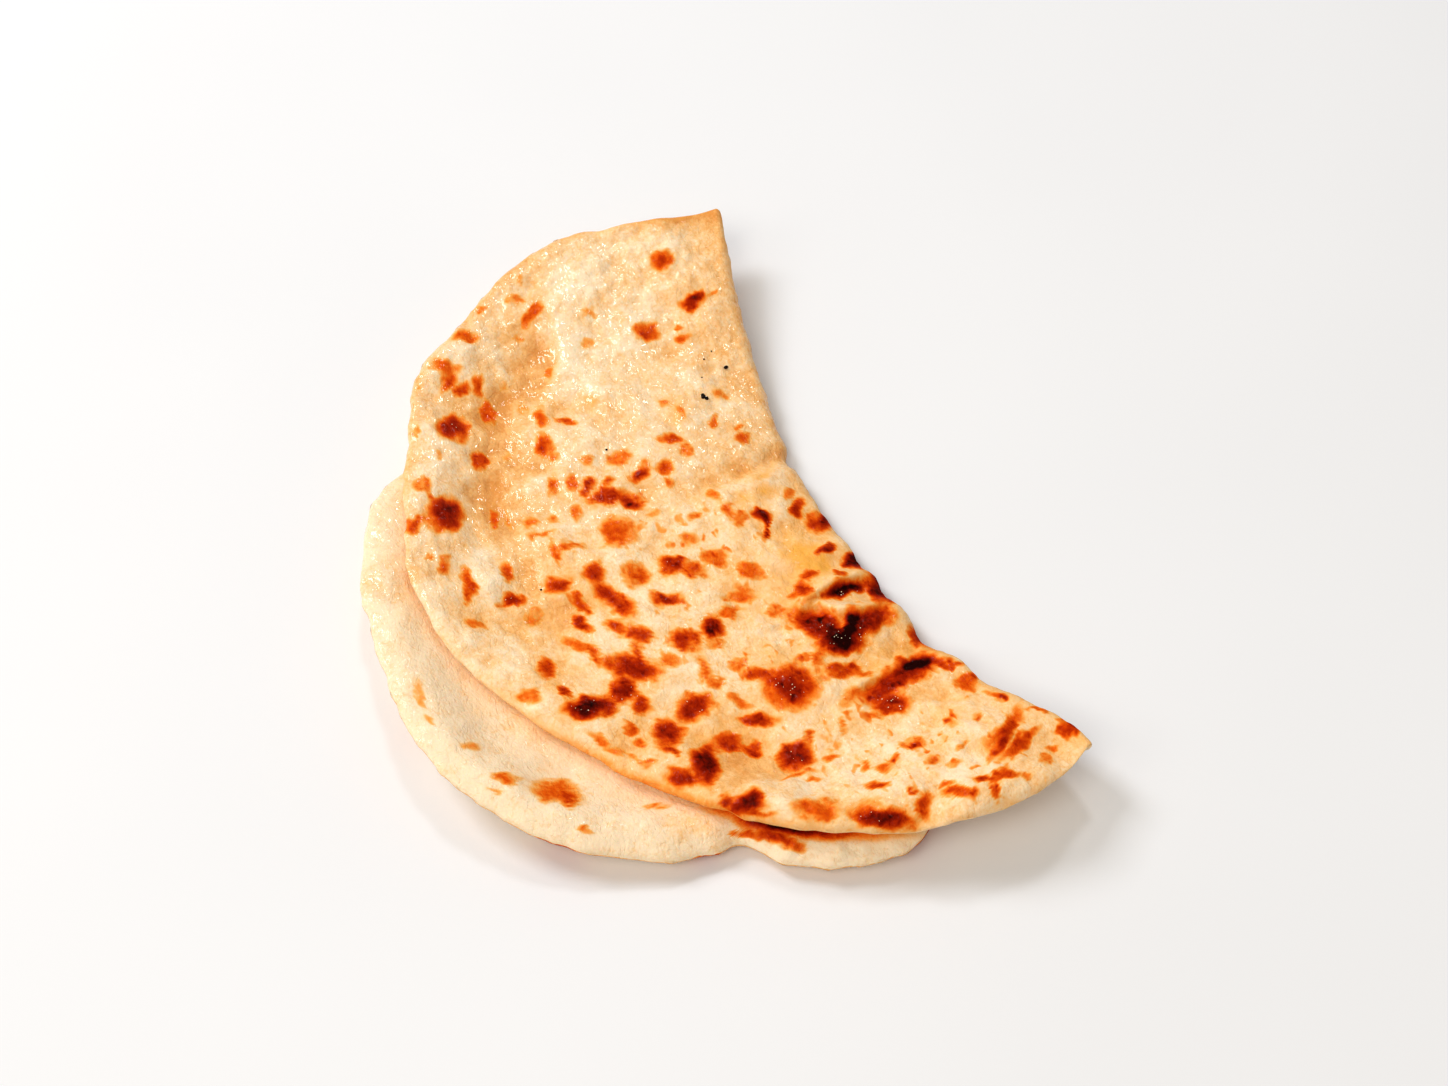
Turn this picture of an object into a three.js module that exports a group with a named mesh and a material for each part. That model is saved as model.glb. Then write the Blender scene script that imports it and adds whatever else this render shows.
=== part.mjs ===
// A cheese naan folded in half: one soft round flatbread, turned over on itself along a line near its
// middle, with a puffed rim all round. The upper half is a little smaller than the lower one, whose edge
// shows as a lip. The bread has sagged: it is flat underneath in the middle, and its ends and rim turn up.
// Millimetres, +Z up. +X runs along the folded edge and +Y from the folded edge to the open rim.
import * as THREE from "three";

// The folded edge
const FOLD_LENGTH = 230; // between its two ends, in a straight line
const FOLD_MIDDLE = 1.5; // the middle of that line, along X
const FOLD_BOW = 23; // how far its middle bows in towards the open rim
const FOLD_BOW_POWER = 1.6; // 2 is a parabola, 1 a straight-sided bend

// The dough
const UPPER_DOUGH = 4.6; // thickness of the upper half, away from its rim
const LOWER_DOUGH = 5.0; // thickness of the lower half, away from its rim
const LAYER_GAP = 0.9; // air between the two halves
const UPPER_ROUND = 4.5; // width of the upper half's rounded edge
const LOWER_ROUND = 7.5; // width of the lower half's rounded edge
const RIM_EDGE = 0.22; // share of the thickness that is left at the very edge
const UPPER_PUFF = 1.6; // extra thickness of the upper half's puffed rim
const LOWER_PUFF = 3.0; // extra thickness of the lower half's puffed rim
const PUFF_INSET = 9; // from the edge to the top of the puffed rim
const PUFF_WIDTH = 8; // half width of the puffed rim
const PUFF_FADE = 16; // how far from the fold the puffed rim has mostly died away
const FLAT_RIM_START = 30; // along X, where the puffed rim begins to go flat
const FLAT_RIM_END = 80; // along X, past which the rim is flat
const RIM_LIFT = 2.2; // how far the upper rim stands off the lower half, where it stands off most
const RIM_LIFT_WIDTH = 14; // how far in from the rim that reaches
const LIFT_PLACE = 0.18; // share of the upper rim's length, from the -X end, where it stands off most
const LIFT_REACH = 0.09; // share of that length over which it comes down again, to either side
const END_THIN = 0.7; // share of the thickness that is lost at the two ends of the fold
const END_REACH = 18; // how far from an end of the fold that reaches
const FOLD_THIN = 0.3; // share of the thickness that is lost where the fold presses the dough
const FOLD_THIN_REACH = 12; // how far in from the fold that reaches

// The sag: flat inside an ellipse, and turned up outside it
const SAG_CENTRE = new THREE.Vector2(-5, 74);
const SAG_FLAT = new THREE.Vector2(84, 52); // the ellipse's half lengths along X and Y
const SAG_RISE = 17; // height at twice the ellipse's size
const SAG_POWER = 1.5;

// Rims of the two halves in plan, from the -X end of the fold to the +X end. The fold's ends complete them.
const UPPER_RIM = [
  [-121, 20], [-118, 48], [-101, 82], [-80, 102], [-55, 120], [-16, 140], [22, 145], [60, 133], [95, 115],
  [114, 91], [129, 58], [124, 33],
];
const LOWER_RIM = [
  [-107, 20], [-106, 38], [-115, 54], [-113, 71], [-103, 88], [-93, 96], [-92, 106], [-86, 124], [-69, 147],
  [-42, 162], [-12, 165], [20, 161], [50, 150], [61, 141], [71, 128], [88, 109], [107, 84], [121, 55],
  [117, 31],
];

// Swellings of the upper face, and hollows where the rise is negative: centre, half length, half width,
// turn of the length from +X in degrees, and rise.
const SWELLS = [
  { x: 95, y: 45, long: 30, wide: 22, turn: 100, rise: 2.0 }, // pillow at the far end
  { x: 55, y: 54, long: 20, wide: 13, turn: 40, rise: 1.4 },
  { x: 81, y: 85, long: 24, wide: 11, turn: 118, rise: -2.4 }, // valley inside the far rim
  { x: 47, y: 110, long: 22, wide: 11, turn: 150, rise: -2.2 },
  { x: 57, y: 124, long: 22, wide: 8, turn: 155, rise: 1.2 },
  { x: 100, y: 102, long: 20, wide: 8, turn: 130, rise: 1.2 },
  { x: 15, y: 125, long: 8, wide: 6, turn: 0, rise: 1.7 }, // round blister
  { x: -4, y: 113, long: 20, wide: 9, turn: 70, rise: -1.6 },
  { x: -21, y: 92, long: 18, wide: 12, turn: 60, rise: 1.4 },
  { x: -44, y: 39, long: 15, wide: 9, turn: 80, rise: 1.6 }, // burnt blister by the fold
  { x: -54, y: 62, long: 13, wide: 10, turn: 60, rise: 1.2 },
  { x: -69, y: 84, long: 18, wide: 10, turn: 120, rise: -1.5 },
  { x: -93, y: 46, long: 22, wide: 14, turn: 100, rise: 1.2 },
];

// Pleats where the folded edge is squeezed: a ridge with a furrow beside it, running in from the fold.
// Each nips the folded edge in by so much, or bulges it out where the nip is negative.
const PLEATS = [
  { x: 20, y: 26, long: 26, wide: 3.6, turn: 95, rise: -1.2, nip: 1.8 },
  { x: -20, y: 28, long: 14, wide: 3.4, turn: 85, rise: 0.9, nip: 0.7 },
  { x: -33, y: 27, long: 20, wide: 3.6, turn: 80, rise: 1.2, nip: 1.0 },
  { x: -53, y: 27, long: 26, wide: 6, turn: 82, rise: 1.5, nip: 4.0 },
  { x: -74, y: 26, long: 26, wide: 6, turn: 86, rise: 0.9, nip: 1.8 },
  { x: -103, y: 12, long: 18, wide: 6, turn: 88, rise: 0.6, nip: -2.4 },
];
const NIP_WIDTH = 1.6; // half width of a nip, as a multiple of its pleat's
const THINNEST = 1.6; // of the dough in a hollow

// Steps of the faceted surface
const STATIONS = 58; // along the fold
const LAYER_STEPS = 15; // from the fold to each rim
const FOLD_STEPS = 5; // round the fold
const STEP_POWER = 1.5; // above 1 crowds the steps towards the rims
const END_CUT = 0.006; // share of the fold's length, and of the rim's, that each end's tip is cut back by
const LINE_SAMPLES = 160; // stretches of a rim, or of the fold, that distances are measured to
const DIRECTION_REACH = 0.02; // share of the fold, either way, over which its direction is taken

const UP = new THREE.Vector3(0, 0, 1);

// How high a swelling stands at a place, as a share of its rise. It dies away smoothly along and across.
function swellShare(swell, x, y) {
  const turn = THREE.MathUtils.degToRad(swell.turn);
  const dx = x - swell.x;
  const dy = y - swell.y;
  const along = (dx * Math.cos(turn) + dy * Math.sin(turn)) / swell.long;
  const across = (dy * Math.cos(turn) - dx * Math.sin(turn)) / swell.wide;
  return { along, across, bump: Math.exp(-along * along - across * across) };
}

// A pleat's ridge, where the share is 1, is at across -1, and its furrow, where it is -1, at across 1.
function pleatShare(pleat, x, y) {
  const { along, across } = swellShare(pleat, x, y);
  return -across * Math.exp(0.5 - 0.5 * across * across - along * along);
}

function relief(x, y) {
  let height = 0;
  for (const swell of SWELLS) height += swell.rise * swellShare(swell, x, y).bump;
  for (const pleat of PLEATS) height += pleat.rise * pleatShare(pleat, x, y);
  return height;
}

// The height of the sagged underside above the surface that the bread lies on.
function sag(x, y) {
  const reach = Math.hypot((x - SAG_CENTRE.x) / SAG_FLAT.x, (y - SAG_CENTRE.y) / SAG_FLAT.y);
  return SAG_RISE * Math.max(reach - 1, 0) ** SAG_POWER;
}

// The outermost line of the fold is bowed, and nipped by the pleats. Share runs from 0 at -X to 1 at +X.
function foldEdge(share) {
  const side = 2 * share - 1;
  const x = FOLD_MIDDLE + (side * FOLD_LENGTH) / 2;
  let y = FOLD_BOW * (1 - Math.abs(side) ** FOLD_BOW_POWER);
  for (const pleat of PLEATS) y += pleat.nip * bell(x - pleat.x, NIP_WIDTH * pleat.wide);
  return new THREE.Vector2(x, y);
}

// The unit vector in plan that points out of the fold, away from the bread.
function foldOut(share) {
  const before = foldEdge(Math.max(share - DIRECTION_REACH, 0));
  const along = foldEdge(Math.min(share + DIRECTION_REACH, 1)).sub(before);
  return new THREE.Vector2(along.y, -along.x).normalize();
}

const FOLD_RADIUS = (LOWER_DOUGH + LAYER_GAP + UPPER_DOUGH) / 2;
const foldSamples = [];
for (let i = 0; i <= LINE_SAMPLES; i++) foldSamples.push(foldEdge(i / LINE_SAMPLES));
const FOLD_ENDS = [foldSamples[0], foldSamples[LINE_SAMPLES]];

// The line that the fold turns about: its edge, set in by the fold's outer radius.
function foldLine(share) {
  const edge = foldEdge(share);
  return edge.clone().addScaledVector(foldOut(share), -FOLD_RADIUS * thinning(edge.x, edge.y));
}

function rimCurve(points) {
  const ends = [foldLine(0), foldLine(1)];
  const between = points.map(([x, y]) => new THREE.Vector2(x, y));
  return new THREE.SplineCurve([ends[0], ...between, ends[1]]);
}

function rimOf(points) {
  const curve = rimCurve(points);
  return { curve, samples: curve.getSpacedPoints(LINE_SAMPLES) };
}

const upperRim = rimOf(UPPER_RIM);
const lowerRim = rimOf(LOWER_RIM);

function lineDistance(samples, x, y) {
  const place = new THREE.Vector3(x, y, 0);
  const nearest = new THREE.Vector3();
  const stretch = new THREE.Line3();
  let least = Infinity;
  for (let i = 0; i < LINE_SAMPLES; i++) {
    stretch.start.set(samples[i].x, samples[i].y, 0);
    stretch.end.set(samples[i + 1].x, samples[i + 1].y, 0);
    stretch.closestPointToPoint(place, true, nearest);
    least = Math.min(least, nearest.distanceTo(place));
  }
  return least;
}

// A bell-shaped share that is 1 where the distance is 0.
function bell(distance, width) {
  return Math.exp(-((distance / width) ** 2));
}

// The share of the thickness that is left by the fold and by its two ends.
function thinning(x, y) {
  const end = Math.min(...FOLD_ENDS.map((place) => Math.hypot(x - place.x, y - place.y)));
  const pressed = 1 - FOLD_THIN * bell(lineDistance(foldSamples, x, y), FOLD_THIN_REACH);
  return pressed * (1 - END_THIN * bell(end, END_REACH));
}

// The edge of the dough is round: the share of the full thickness at a distance from the edge.
function rounding(distance, width) {
  const inward = 1 - Math.min(distance / width, 1);
  return Math.max(RIM_EDGE, Math.sqrt(1 - inward * inward));
}

// The share of a rim's puff that a place has, at a distance from that rim. None is left by the fold, nor at
// the +X end.
function puffShare(x, y, distance) {
  const besideFold = bell(lineDistance(foldSamples, x, y), PUFF_FADE);
  const flat = THREE.MathUtils.smoothstep(x, FLAT_RIM_START, FLAT_RIM_END);
  return bell(distance - PUFF_INSET, PUFF_WIDTH) * (1 - besideFold) * (1 - flat);
}

function lowerThickness(x, y) {
  const puff = LOWER_PUFF * puffShare(x, y, lineDistance(lowerRim.samples, x, y));
  return (LOWER_DOUGH + puff) * thinning(x, y);
}

function upperThickness(x, y, distance) {
  const puff = UPPER_PUFF * puffShare(x, y, distance);
  return Math.max((UPPER_DOUGH + puff) * thinning(x, y) + relief(x, y), THINNEST);
}

// Middle height and half thickness of the lower half at a place in plan.
function lowerHalf(x, y) {
  const thickness = lowerThickness(x, y);
  const half = (thickness / 2) * rounding(lineDistance(lowerRim.samples, x, y), LOWER_ROUND);
  return { middle: sag(x, y) + thickness / 2, half };
}

// The same of the upper half, which lies on the lower one and stands off it along a part of its rim.
function upperHalf(x, y, share) {
  const distance = lineDistance(upperRim.samples, x, y);
  const along = bell(share - LIFT_PLACE, LIFT_REACH);
  const lift = RIM_LIFT * along * bell(distance, RIM_LIFT_WIDTH) * thinning(x, y);
  const bottom = sag(x, y) + lowerThickness(x, y) + LAYER_GAP + lift;
  const thickness = upperThickness(x, y, distance);
  return { middle: bottom + thickness / 2, half: (thickness / 2) * rounding(distance, UPPER_ROUND) };
}

// One line across the bread, from the lower rim round the fold to the upper rim. Each point has the dough's
// middle, the direction of its outer face and its half thickness.
function section(share) {
  const turning = foldLine(share);
  const out = foldOut(share);
  const outward = new THREE.Vector3(out.x, out.y, 0);
  const points = [];
  const layer = (rim, halfAt, face, step) => {
    const reach = 1 - (1 - step / LAYER_STEPS) ** STEP_POWER;
    const place = turning.clone().lerp(rim.curve.getPointAt(share), reach);
    const { middle, half } = halfAt(place.x, place.y, share);
    points.push({ middle: new THREE.Vector3(place.x, place.y, middle), face, half });
  };
  for (let step = LAYER_STEPS; step >= 0; step--) layer(lowerRim, lowerHalf, UP.clone().negate(), step);
  const lower = points[points.length - 1];
  const top = upperHalf(turning.x, turning.y, share);
  const radius = (top.middle - lower.middle.z) / 2;
  for (let step = 1; step < FOLD_STEPS; step++) {
    const angle = Math.PI * (step / FOLD_STEPS - 0.5);
    const face = outward.clone().multiplyScalar(Math.cos(angle)).addScaledVector(UP, Math.sin(angle));
    const middle = lower.middle.clone().addScaledVector(UP, radius).addScaledVector(face, radius);
    points.push({ middle, face, half: THREE.MathUtils.lerp(lower.half, top.half, step / FOLD_STEPS) });
  }
  for (let step = 0; step <= LAYER_STEPS; step++) layer(upperRim, upperHalf, UP, step);
  return points;
}

// A closed sheet of dough from its sections: outer face, inner face, the two rims and the two ends.
function sheetGeometry(sections) {
  const width = sections[0].length;
  const positions = [];
  for (const side of [1, -1]) {
    for (const points of sections) {
      for (const { middle, face, half } of points) {
        positions.push(...middle.clone().addScaledVector(face, side * half).toArray());
      }
    }
  }
  const index = [];
  const outer = (i, j) => i * width + j;
  const inner = (i, j) => sections.length * width + outer(i, j);
  const quad = (a, b, c, d) => index.push(a, b, c, a, c, d);
  const last = sections.length - 1;
  const rim = width - 1;
  for (let i = 0; i < last; i++) {
    for (let j = 0; j < rim; j++) {
      quad(outer(i, j), outer(i + 1, j), outer(i + 1, j + 1), outer(i, j + 1));
      quad(inner(i, j), inner(i, j + 1), inner(i + 1, j + 1), inner(i + 1, j));
    }
    quad(outer(i, 0), inner(i, 0), inner(i + 1, 0), outer(i + 1, 0));
    quad(outer(i, rim), outer(i + 1, rim), inner(i + 1, rim), inner(i, rim));
  }
  for (let j = 0; j < rim; j++) {
    quad(outer(0, j), outer(0, j + 1), inner(0, j + 1), inner(0, j));
    quad(outer(last, j), inner(last, j), inner(last, j + 1), outer(last, j + 1));
  }
  const geometry = new THREE.BufferGeometry();
  geometry.setAttribute("position", new THREE.Float32BufferAttribute(positions, 3));
  geometry.setIndex(index);
  geometry.computeVertexNormals();
  return geometry;
}

function naan() {
  const sections = [];
  for (let i = 0; i <= STATIONS; i++) {
    sections.push(section(THREE.MathUtils.lerp(END_CUT, 1 - END_CUT, i / STATIONS)));
  }
  const crust = new THREE.MeshStandardMaterial({ color: 0xe9c48c, roughness: 0.55, metalness: 0 });
  const mesh = new THREE.Mesh(sheetGeometry(sections), crust);
  mesh.name = "naan";
  return mesh;
}

// The part's origin is under the middle of the bread, on the surface that it lies on.
const part = new THREE.Group();
const bread = naan();
bread.geometry.computeBoundingBox();
const box = bread.geometry.boundingBox;
bread.position.set(-(box.min.x + box.max.x) / 2, -(box.min.y + box.max.y) / 2, -box.min.z);
part.add(bread);

export default part;
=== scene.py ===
# Looks of a cheese naan folded in half: blistered, burnt and buttered crust on the bread's own form.
# The form is worked out in millimetres from the same sizes as the solid's, with +X along the folded edge
# and +Y from the folded edge to the open rim, and is then set into the solid's box.
import math
from collections import namedtuple

import bmesh
import bpy
import numpy as np
from mathutils import Matrix, Vector


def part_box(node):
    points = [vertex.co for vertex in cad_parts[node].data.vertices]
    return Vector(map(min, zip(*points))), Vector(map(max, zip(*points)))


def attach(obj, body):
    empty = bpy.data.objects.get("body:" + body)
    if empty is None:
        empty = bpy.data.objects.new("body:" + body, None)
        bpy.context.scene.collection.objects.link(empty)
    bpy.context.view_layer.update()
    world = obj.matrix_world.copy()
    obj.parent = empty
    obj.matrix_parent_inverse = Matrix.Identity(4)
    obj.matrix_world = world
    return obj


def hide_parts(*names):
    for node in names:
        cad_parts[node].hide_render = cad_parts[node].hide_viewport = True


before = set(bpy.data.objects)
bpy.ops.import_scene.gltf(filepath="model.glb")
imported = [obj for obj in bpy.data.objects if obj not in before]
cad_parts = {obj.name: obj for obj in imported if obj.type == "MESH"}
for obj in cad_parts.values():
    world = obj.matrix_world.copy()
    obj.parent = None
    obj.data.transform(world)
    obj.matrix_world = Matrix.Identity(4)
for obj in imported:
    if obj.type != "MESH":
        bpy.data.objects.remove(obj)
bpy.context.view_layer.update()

MM = 0.001

# Seeds of what is random, and of each field of noise
SEED = 20
LUMP_SHAPE_SEED = 5
BEAD_SEED = 9
UNDER_WAVE_SEED = 20
UNDER_BUMP_SEED = 30
BUMP_SEED = 40
RUN_SEED = 45
CHAR_SEED = 50
LUMP_SEED = 55
TAN_SEED = 60
LIP_GOLD_SEED = 62
RIM_SEED = 70
NOISE_GRID = 97  # steps after which a field repeats
NOISE_GAIN = 1.5  # brings a field to between about -1 and 1

# The folded edge
FOLD_LENGTH = 230.0
FOLD_MIDDLE = 1.5
FOLD_BOW = 23.0
FOLD_BOW_POWER = 1.6
DIRECTION_REACH = 0.02  # share of the fold, either way, over which its direction is taken

# The dough: thicknesses, widths of the rounded edges, the puffed rims, where the upper rim stands off, and
# the share of the thickness that is lost by the fold and by its ends
UPPER_DOUGH = 4.6
LOWER_DOUGH = 5.0
LAYER_GAP = 0.9
UPPER_ROUND = 4.5
LOWER_ROUND = 7.5
UPPER_PUFF = 1.6
LOWER_PUFF = 3.0
PUFF_INSET = 9.0
PUFF_WIDTH = 8.0
RIM_LIFT = 2.2
RIM_LIFT_WIDTH = 14.0
LIFT_PLACE = 0.18  # share of the upper rim's length where it stands off most
LIFT_REACH = 0.09
END_THIN = 0.7
END_REACH = 18.0
FOLD_THIN = 0.3
FOLD_THIN_REACH = 12.0
THINNEST = 1.6
PUFF_FADE = 16.0
FLAT_RIM_START = 30.0
FLAT_RIM_END = 80.0

# The sag: flat inside an ellipse, and turned up outside it
SAG_CENTRE = (-5.0, 74.0)
SAG_FLAT = (84.0, 52.0)
SAG_RISE = 17.0
SAG_POWER = 1.5

# Rims of the two halves in plan, from the -X end of the fold to the +X end
UPPER_RIM = [
    (-121, 20), (-118, 48), (-101, 82), (-80, 102), (-55, 120), (-16, 140), (22, 145), (60, 133), (95, 115),
    (114, 91), (129, 58), (124, 33),
]
LOWER_RIM = [
    (-107, 20), (-106, 38), (-115, 54), (-113, 71), (-103, 88), (-93, 96), (-92, 106), (-86, 124), (-69, 147),
    (-42, 162), (-12, 165), (20, 161), (50, 150), (61, 141), (71, 128), (88, 109), (107, 84), (121, 55),
    (117, 31),
]

RIM_WAVES = [(17, 0.9), (7, 0.6), (4, 0.45)]  # size of the rims' unevenness and how far it reaches
RIM_WAVE_START = 20.0  # it dies away so far from the ends of the fold

# Swellings of the upper face, hollows where the rise is negative: centre, half length, half width, turn
# of the length from +X in degrees, and rise
Swell = namedtuple("Swell", "x y long wide turn rise")
SWELLS = [
    Swell(95, 45, 30, 22, 100, 2.0),
    Swell(55, 54, 20, 13, 40, 1.4),
    Swell(81, 85, 24, 11, 118, -2.4),
    Swell(47, 110, 22, 11, 150, -2.2),
    Swell(57, 124, 22, 8, 155, 1.2),
    Swell(100, 102, 20, 8, 130, 1.2),
    Swell(15, 125, 8, 6, 0, 1.7),
    Swell(-4, 113, 20, 9, 70, -1.6),
    Swell(-21, 92, 18, 12, 60, 1.4),
    Swell(-44, 39, 15, 9, 80, 1.6),
    Swell(-54, 62, 13, 10, 60, 1.2),
    Swell(-69, 84, 18, 10, 120, -1.5),
    Swell(-93, 46, 22, 14, 100, 1.2),
]

# Pleats where the folded edge is squeezed: a ridge with a furrow beside it, running in from the fold
Pleat = namedtuple("Pleat", "x y long wide turn rise nip")
PLEATS = [
    Pleat(20, 26, 26, 3.6, 95, -1.2, 1.8),
    Pleat(-20, 28, 14, 3.4, 85, 0.9, 0.7),
    Pleat(-33, 27, 20, 3.6, 80, 1.2, 1.0),
    Pleat(-53, 27, 26, 6, 82, 1.5, 4.0),
    Pleat(-74, 26, 26, 6, 86, 0.9, 1.8),
    Pleat(-103, 12, 18, 6, 88, 0.6, -2.4),
]
NIP_WIDTH = 1.6  # half width of a nip, as a multiple of its pleat's

# Steps of the fine surface
STATIONS = 360  # along the fold
END_CROWDING = 0.25  # 0 spaces steps evenly, above that they crowd towards both ends
TOP_STEPS = 140
LIP_STEPS = 70
UNDER_STEPS = 30
INNER_STEPS = 16
FOLD_STEPS = 9
INNER_FOLD_STEPS = 4
TOP_POWER = 1.2  # above 1 crowds the steps towards the rim
LIP_POWER = 1.8
CURVE_STEPS = 40  # between two points of a rim
LINE_SAMPLES = 160  # stretches of a rim, or of the fold, that distances are measured to
WELD = 0.004  # points closer than this are one

# The camera, in the bread's own millimetres
PHOTO_WIDTH = 1448
PHOTO_HEIGHT = 1086
LENS = 60.0
SENSOR = 36.0
CAMERA_AZIMUTH = math.radians(243.7)
CAMERA_ELEVATION = math.radians(52.0)
CAMERA_DISTANCE = 713.4
CAMERA_AIM = np.array([-1.0, 56.2, 10.0])
CAMERA_RIGHT = np.array([math.cos(CAMERA_AZIMUTH), math.sin(CAMERA_AZIMUTH), 0.0])
CAMERA_BACK = np.array([
    math.sin(CAMERA_AZIMUTH) * math.cos(CAMERA_ELEVATION),
    -math.cos(CAMERA_AZIMUTH) * math.cos(CAMERA_ELEVATION),
    math.sin(CAMERA_ELEVATION),
])
CAMERA_UP = np.cross(CAMERA_BACK, CAMERA_RIGHT)
CAMERA_PLACE = CAMERA_AIM + CAMERA_BACK * CAMERA_DISTANCE

Spot = namedtuple("Spot", "x y long wide turn strength")

# Burns of the upper face by their place in the photo: across, down, half length, half width, turn of the
# length in degrees with its right end going down, and heat, where 0.3 is golden, 0.6 brown and 1 black.
FAR_BURNS = [
    (662, 262, 10, 8, -15, 0.65), (694, 301, 12, 9, -10, 0.95), (713, 296, 6, 3, -15, 0.4),
    (644, 332, 13, 9, -15, 0.65), (677, 324, 6, 4, 0, 0.5), (683, 337, 8, 5, 0, 0.55),
    (533, 316, 13, 7, -45, 0.6), (516, 298, 7, 5, 0, 0.35), (518, 278, 4, 6, 0, 0.3),
    (517, 339, 5, 4, 0, 0.35), (481, 309, 6, 4, 20, 0.4), (467, 337, 12, 6, 10, 0.55),
    (445, 366, 12, 6, 15, 0.5), (448, 382, 7, 11, 0, 0.65), (461, 391, 6, 7, 0, 0.7),
    (477, 385, 7, 10, 0, 0.65), (503, 386, 5, 4, 0, 0.25), (487, 412, 14, 7, 75, 0.6),
    (452, 427, 14, 12, 20, 0.9), (419, 385, 5, 3, -20, 0.35), (480, 461, 9, 9, 40, 0.75),
    (442, 457, 5, 4, 0, 0.25), (507, 456, 6, 6, 0, 0.25), (540, 420, 10, 7, 55, 0.6),
    (566, 421, 11, 4, 15, 0.6), (543, 448, 12, 8, 60, 0.6), (590, 313, 8, 3, 0, 0.3),
    (589, 345, 8, 4, -15, 0.3), (550, 373, 6, 6, 0, 0.4), (665, 401, 8, 3, 20, 0.35),
    (681, 413, 9, 3, 60, 0.35), (718, 395, 10, 5, 15, 0.4), (714, 418, 6, 4, 90, 0.5),
    (738, 425, 5, 5, 0, 0.5), (745, 439, 7, 6, 0, 0.5), (671, 440, 11, 6, 10, 0.65),
    (586, 462, 7, 6, 0, 0.4), (619, 459, 10, 6, -30, 0.45),
]
MIDDLE_BURNS = [
    (446, 516, 17, 16, 45, 0.97), (432, 498, 6, 4, 45, 0.6), (415, 527, 12, 8, -15, 0.7),
    (493, 518, 9, 6, 85, 0.6), (510, 523, 9, 3, 70, 0.35), (529, 523, 6, 5, 30, 0.5),
    (550, 517, 5, 5, 0, 0.4), (574, 514, 7, 5, 90, 0.45), (553, 487, 9, 6, 80, 0.55),
    (572, 482, 5, 5, 0, 0.45), (587, 486, 8, 5, -60, 0.8), (608, 484, 7, 6, 0, 0.65),
    (608, 499, 17, 7, 3, 0.8), (632, 502, 11, 7, 12, 0.85), (641, 471, 12, 7, -30, 0.9),
    (666, 468, 7, 7, 0, 0.65), (671, 482, 4, 3, 0, 0.5), (712, 495, 8, 5, 10, 0.42),
    (730, 510, 8, 7, -40, 0.5), (739, 521, 8, 5, -10, 0.42), (697, 516, 7, 4, 0, 0.45),
    (653, 512, 6, 4, 0, 0.35), (612, 533, 12, 13, 0, 0.58), (626, 530, 12, 12, 0, 0.42),
    (555, 554, 11, 4, 80, 0.5), (570, 548, 15, 4, -12, 0.5), (543, 535, 13, 3, 5, 0.4),
    (445, 565, 8, 6, -40, 0.5), (428, 558, 4, 3, 0, 0.4), (467, 587, 17, 6, 78, 0.65),
    (508, 573, 9, 6, 70, 0.6), (514, 600, 12, 6, -10, 0.9), (500, 603, 8, 4, 0, 0.4),
    (559, 583, 13, 8, -15, 0.8), (595, 574, 10, 10, 0, 0.8), (637, 576, 11, 10, 0, 0.6),
    (671, 566, 13, 9, 15, 0.8), (694, 570, 10, 6, 25, 0.5), (715, 558, 10, 9, 0, 0.5),
    (750, 573, 15, 8, 30, 0.52), (615, 602, 22, 9, 40, 0.8), (579, 602, 11, 5, 30, 0.75),
    (579, 622, 11, 7, 40, 0.85), (666, 598, 14, 6, 0, 0.7), (615, 628, 9, 7, 0, 0.65),
    (639, 634, 14, 7, 12, 0.75), (533, 619, 9, 8, 0, 0.35), (475, 624, 10, 6, 5, 0.5),
    (588, 650, 21, 5, 27, 0.55), (685, 640, 14, 9, 10, 0.8), (712, 629, 11, 8, -5, 0.95),
    (726, 613, 16, 5, -20, 0.5), (717, 643, 9, 5, 0, 0.4), (741, 597, 14, 5, 0, 0.4),
    (547, 670, 10, 10, 0, 0.75), (634, 668, 25, 12, 20, 0.9), (641, 656, 14, 5, 60, 0.7),
    (624, 691, 14, 10, -15, 0.95), (640, 704, 9, 7, 50, 0.8), (588, 708, 24, 10, -8, 1.12),
    (567, 691, 7, 4, 50, 0.8), (695, 707, 17, 12, -20, 0.9), (671, 663, 8, 6, 0, 0.4),
    (707, 672, 15, 4, 55, 0.45), (716, 683, 7, 4, 0, 0.5), (737, 665, 6, 6, 0, 0.42),
    (740, 700, 12, 4, 20, 0.5), (753, 677, 10, 4, -10, 0.5), (687, 540, 8, 5, 0, 0.35),
]
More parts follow.
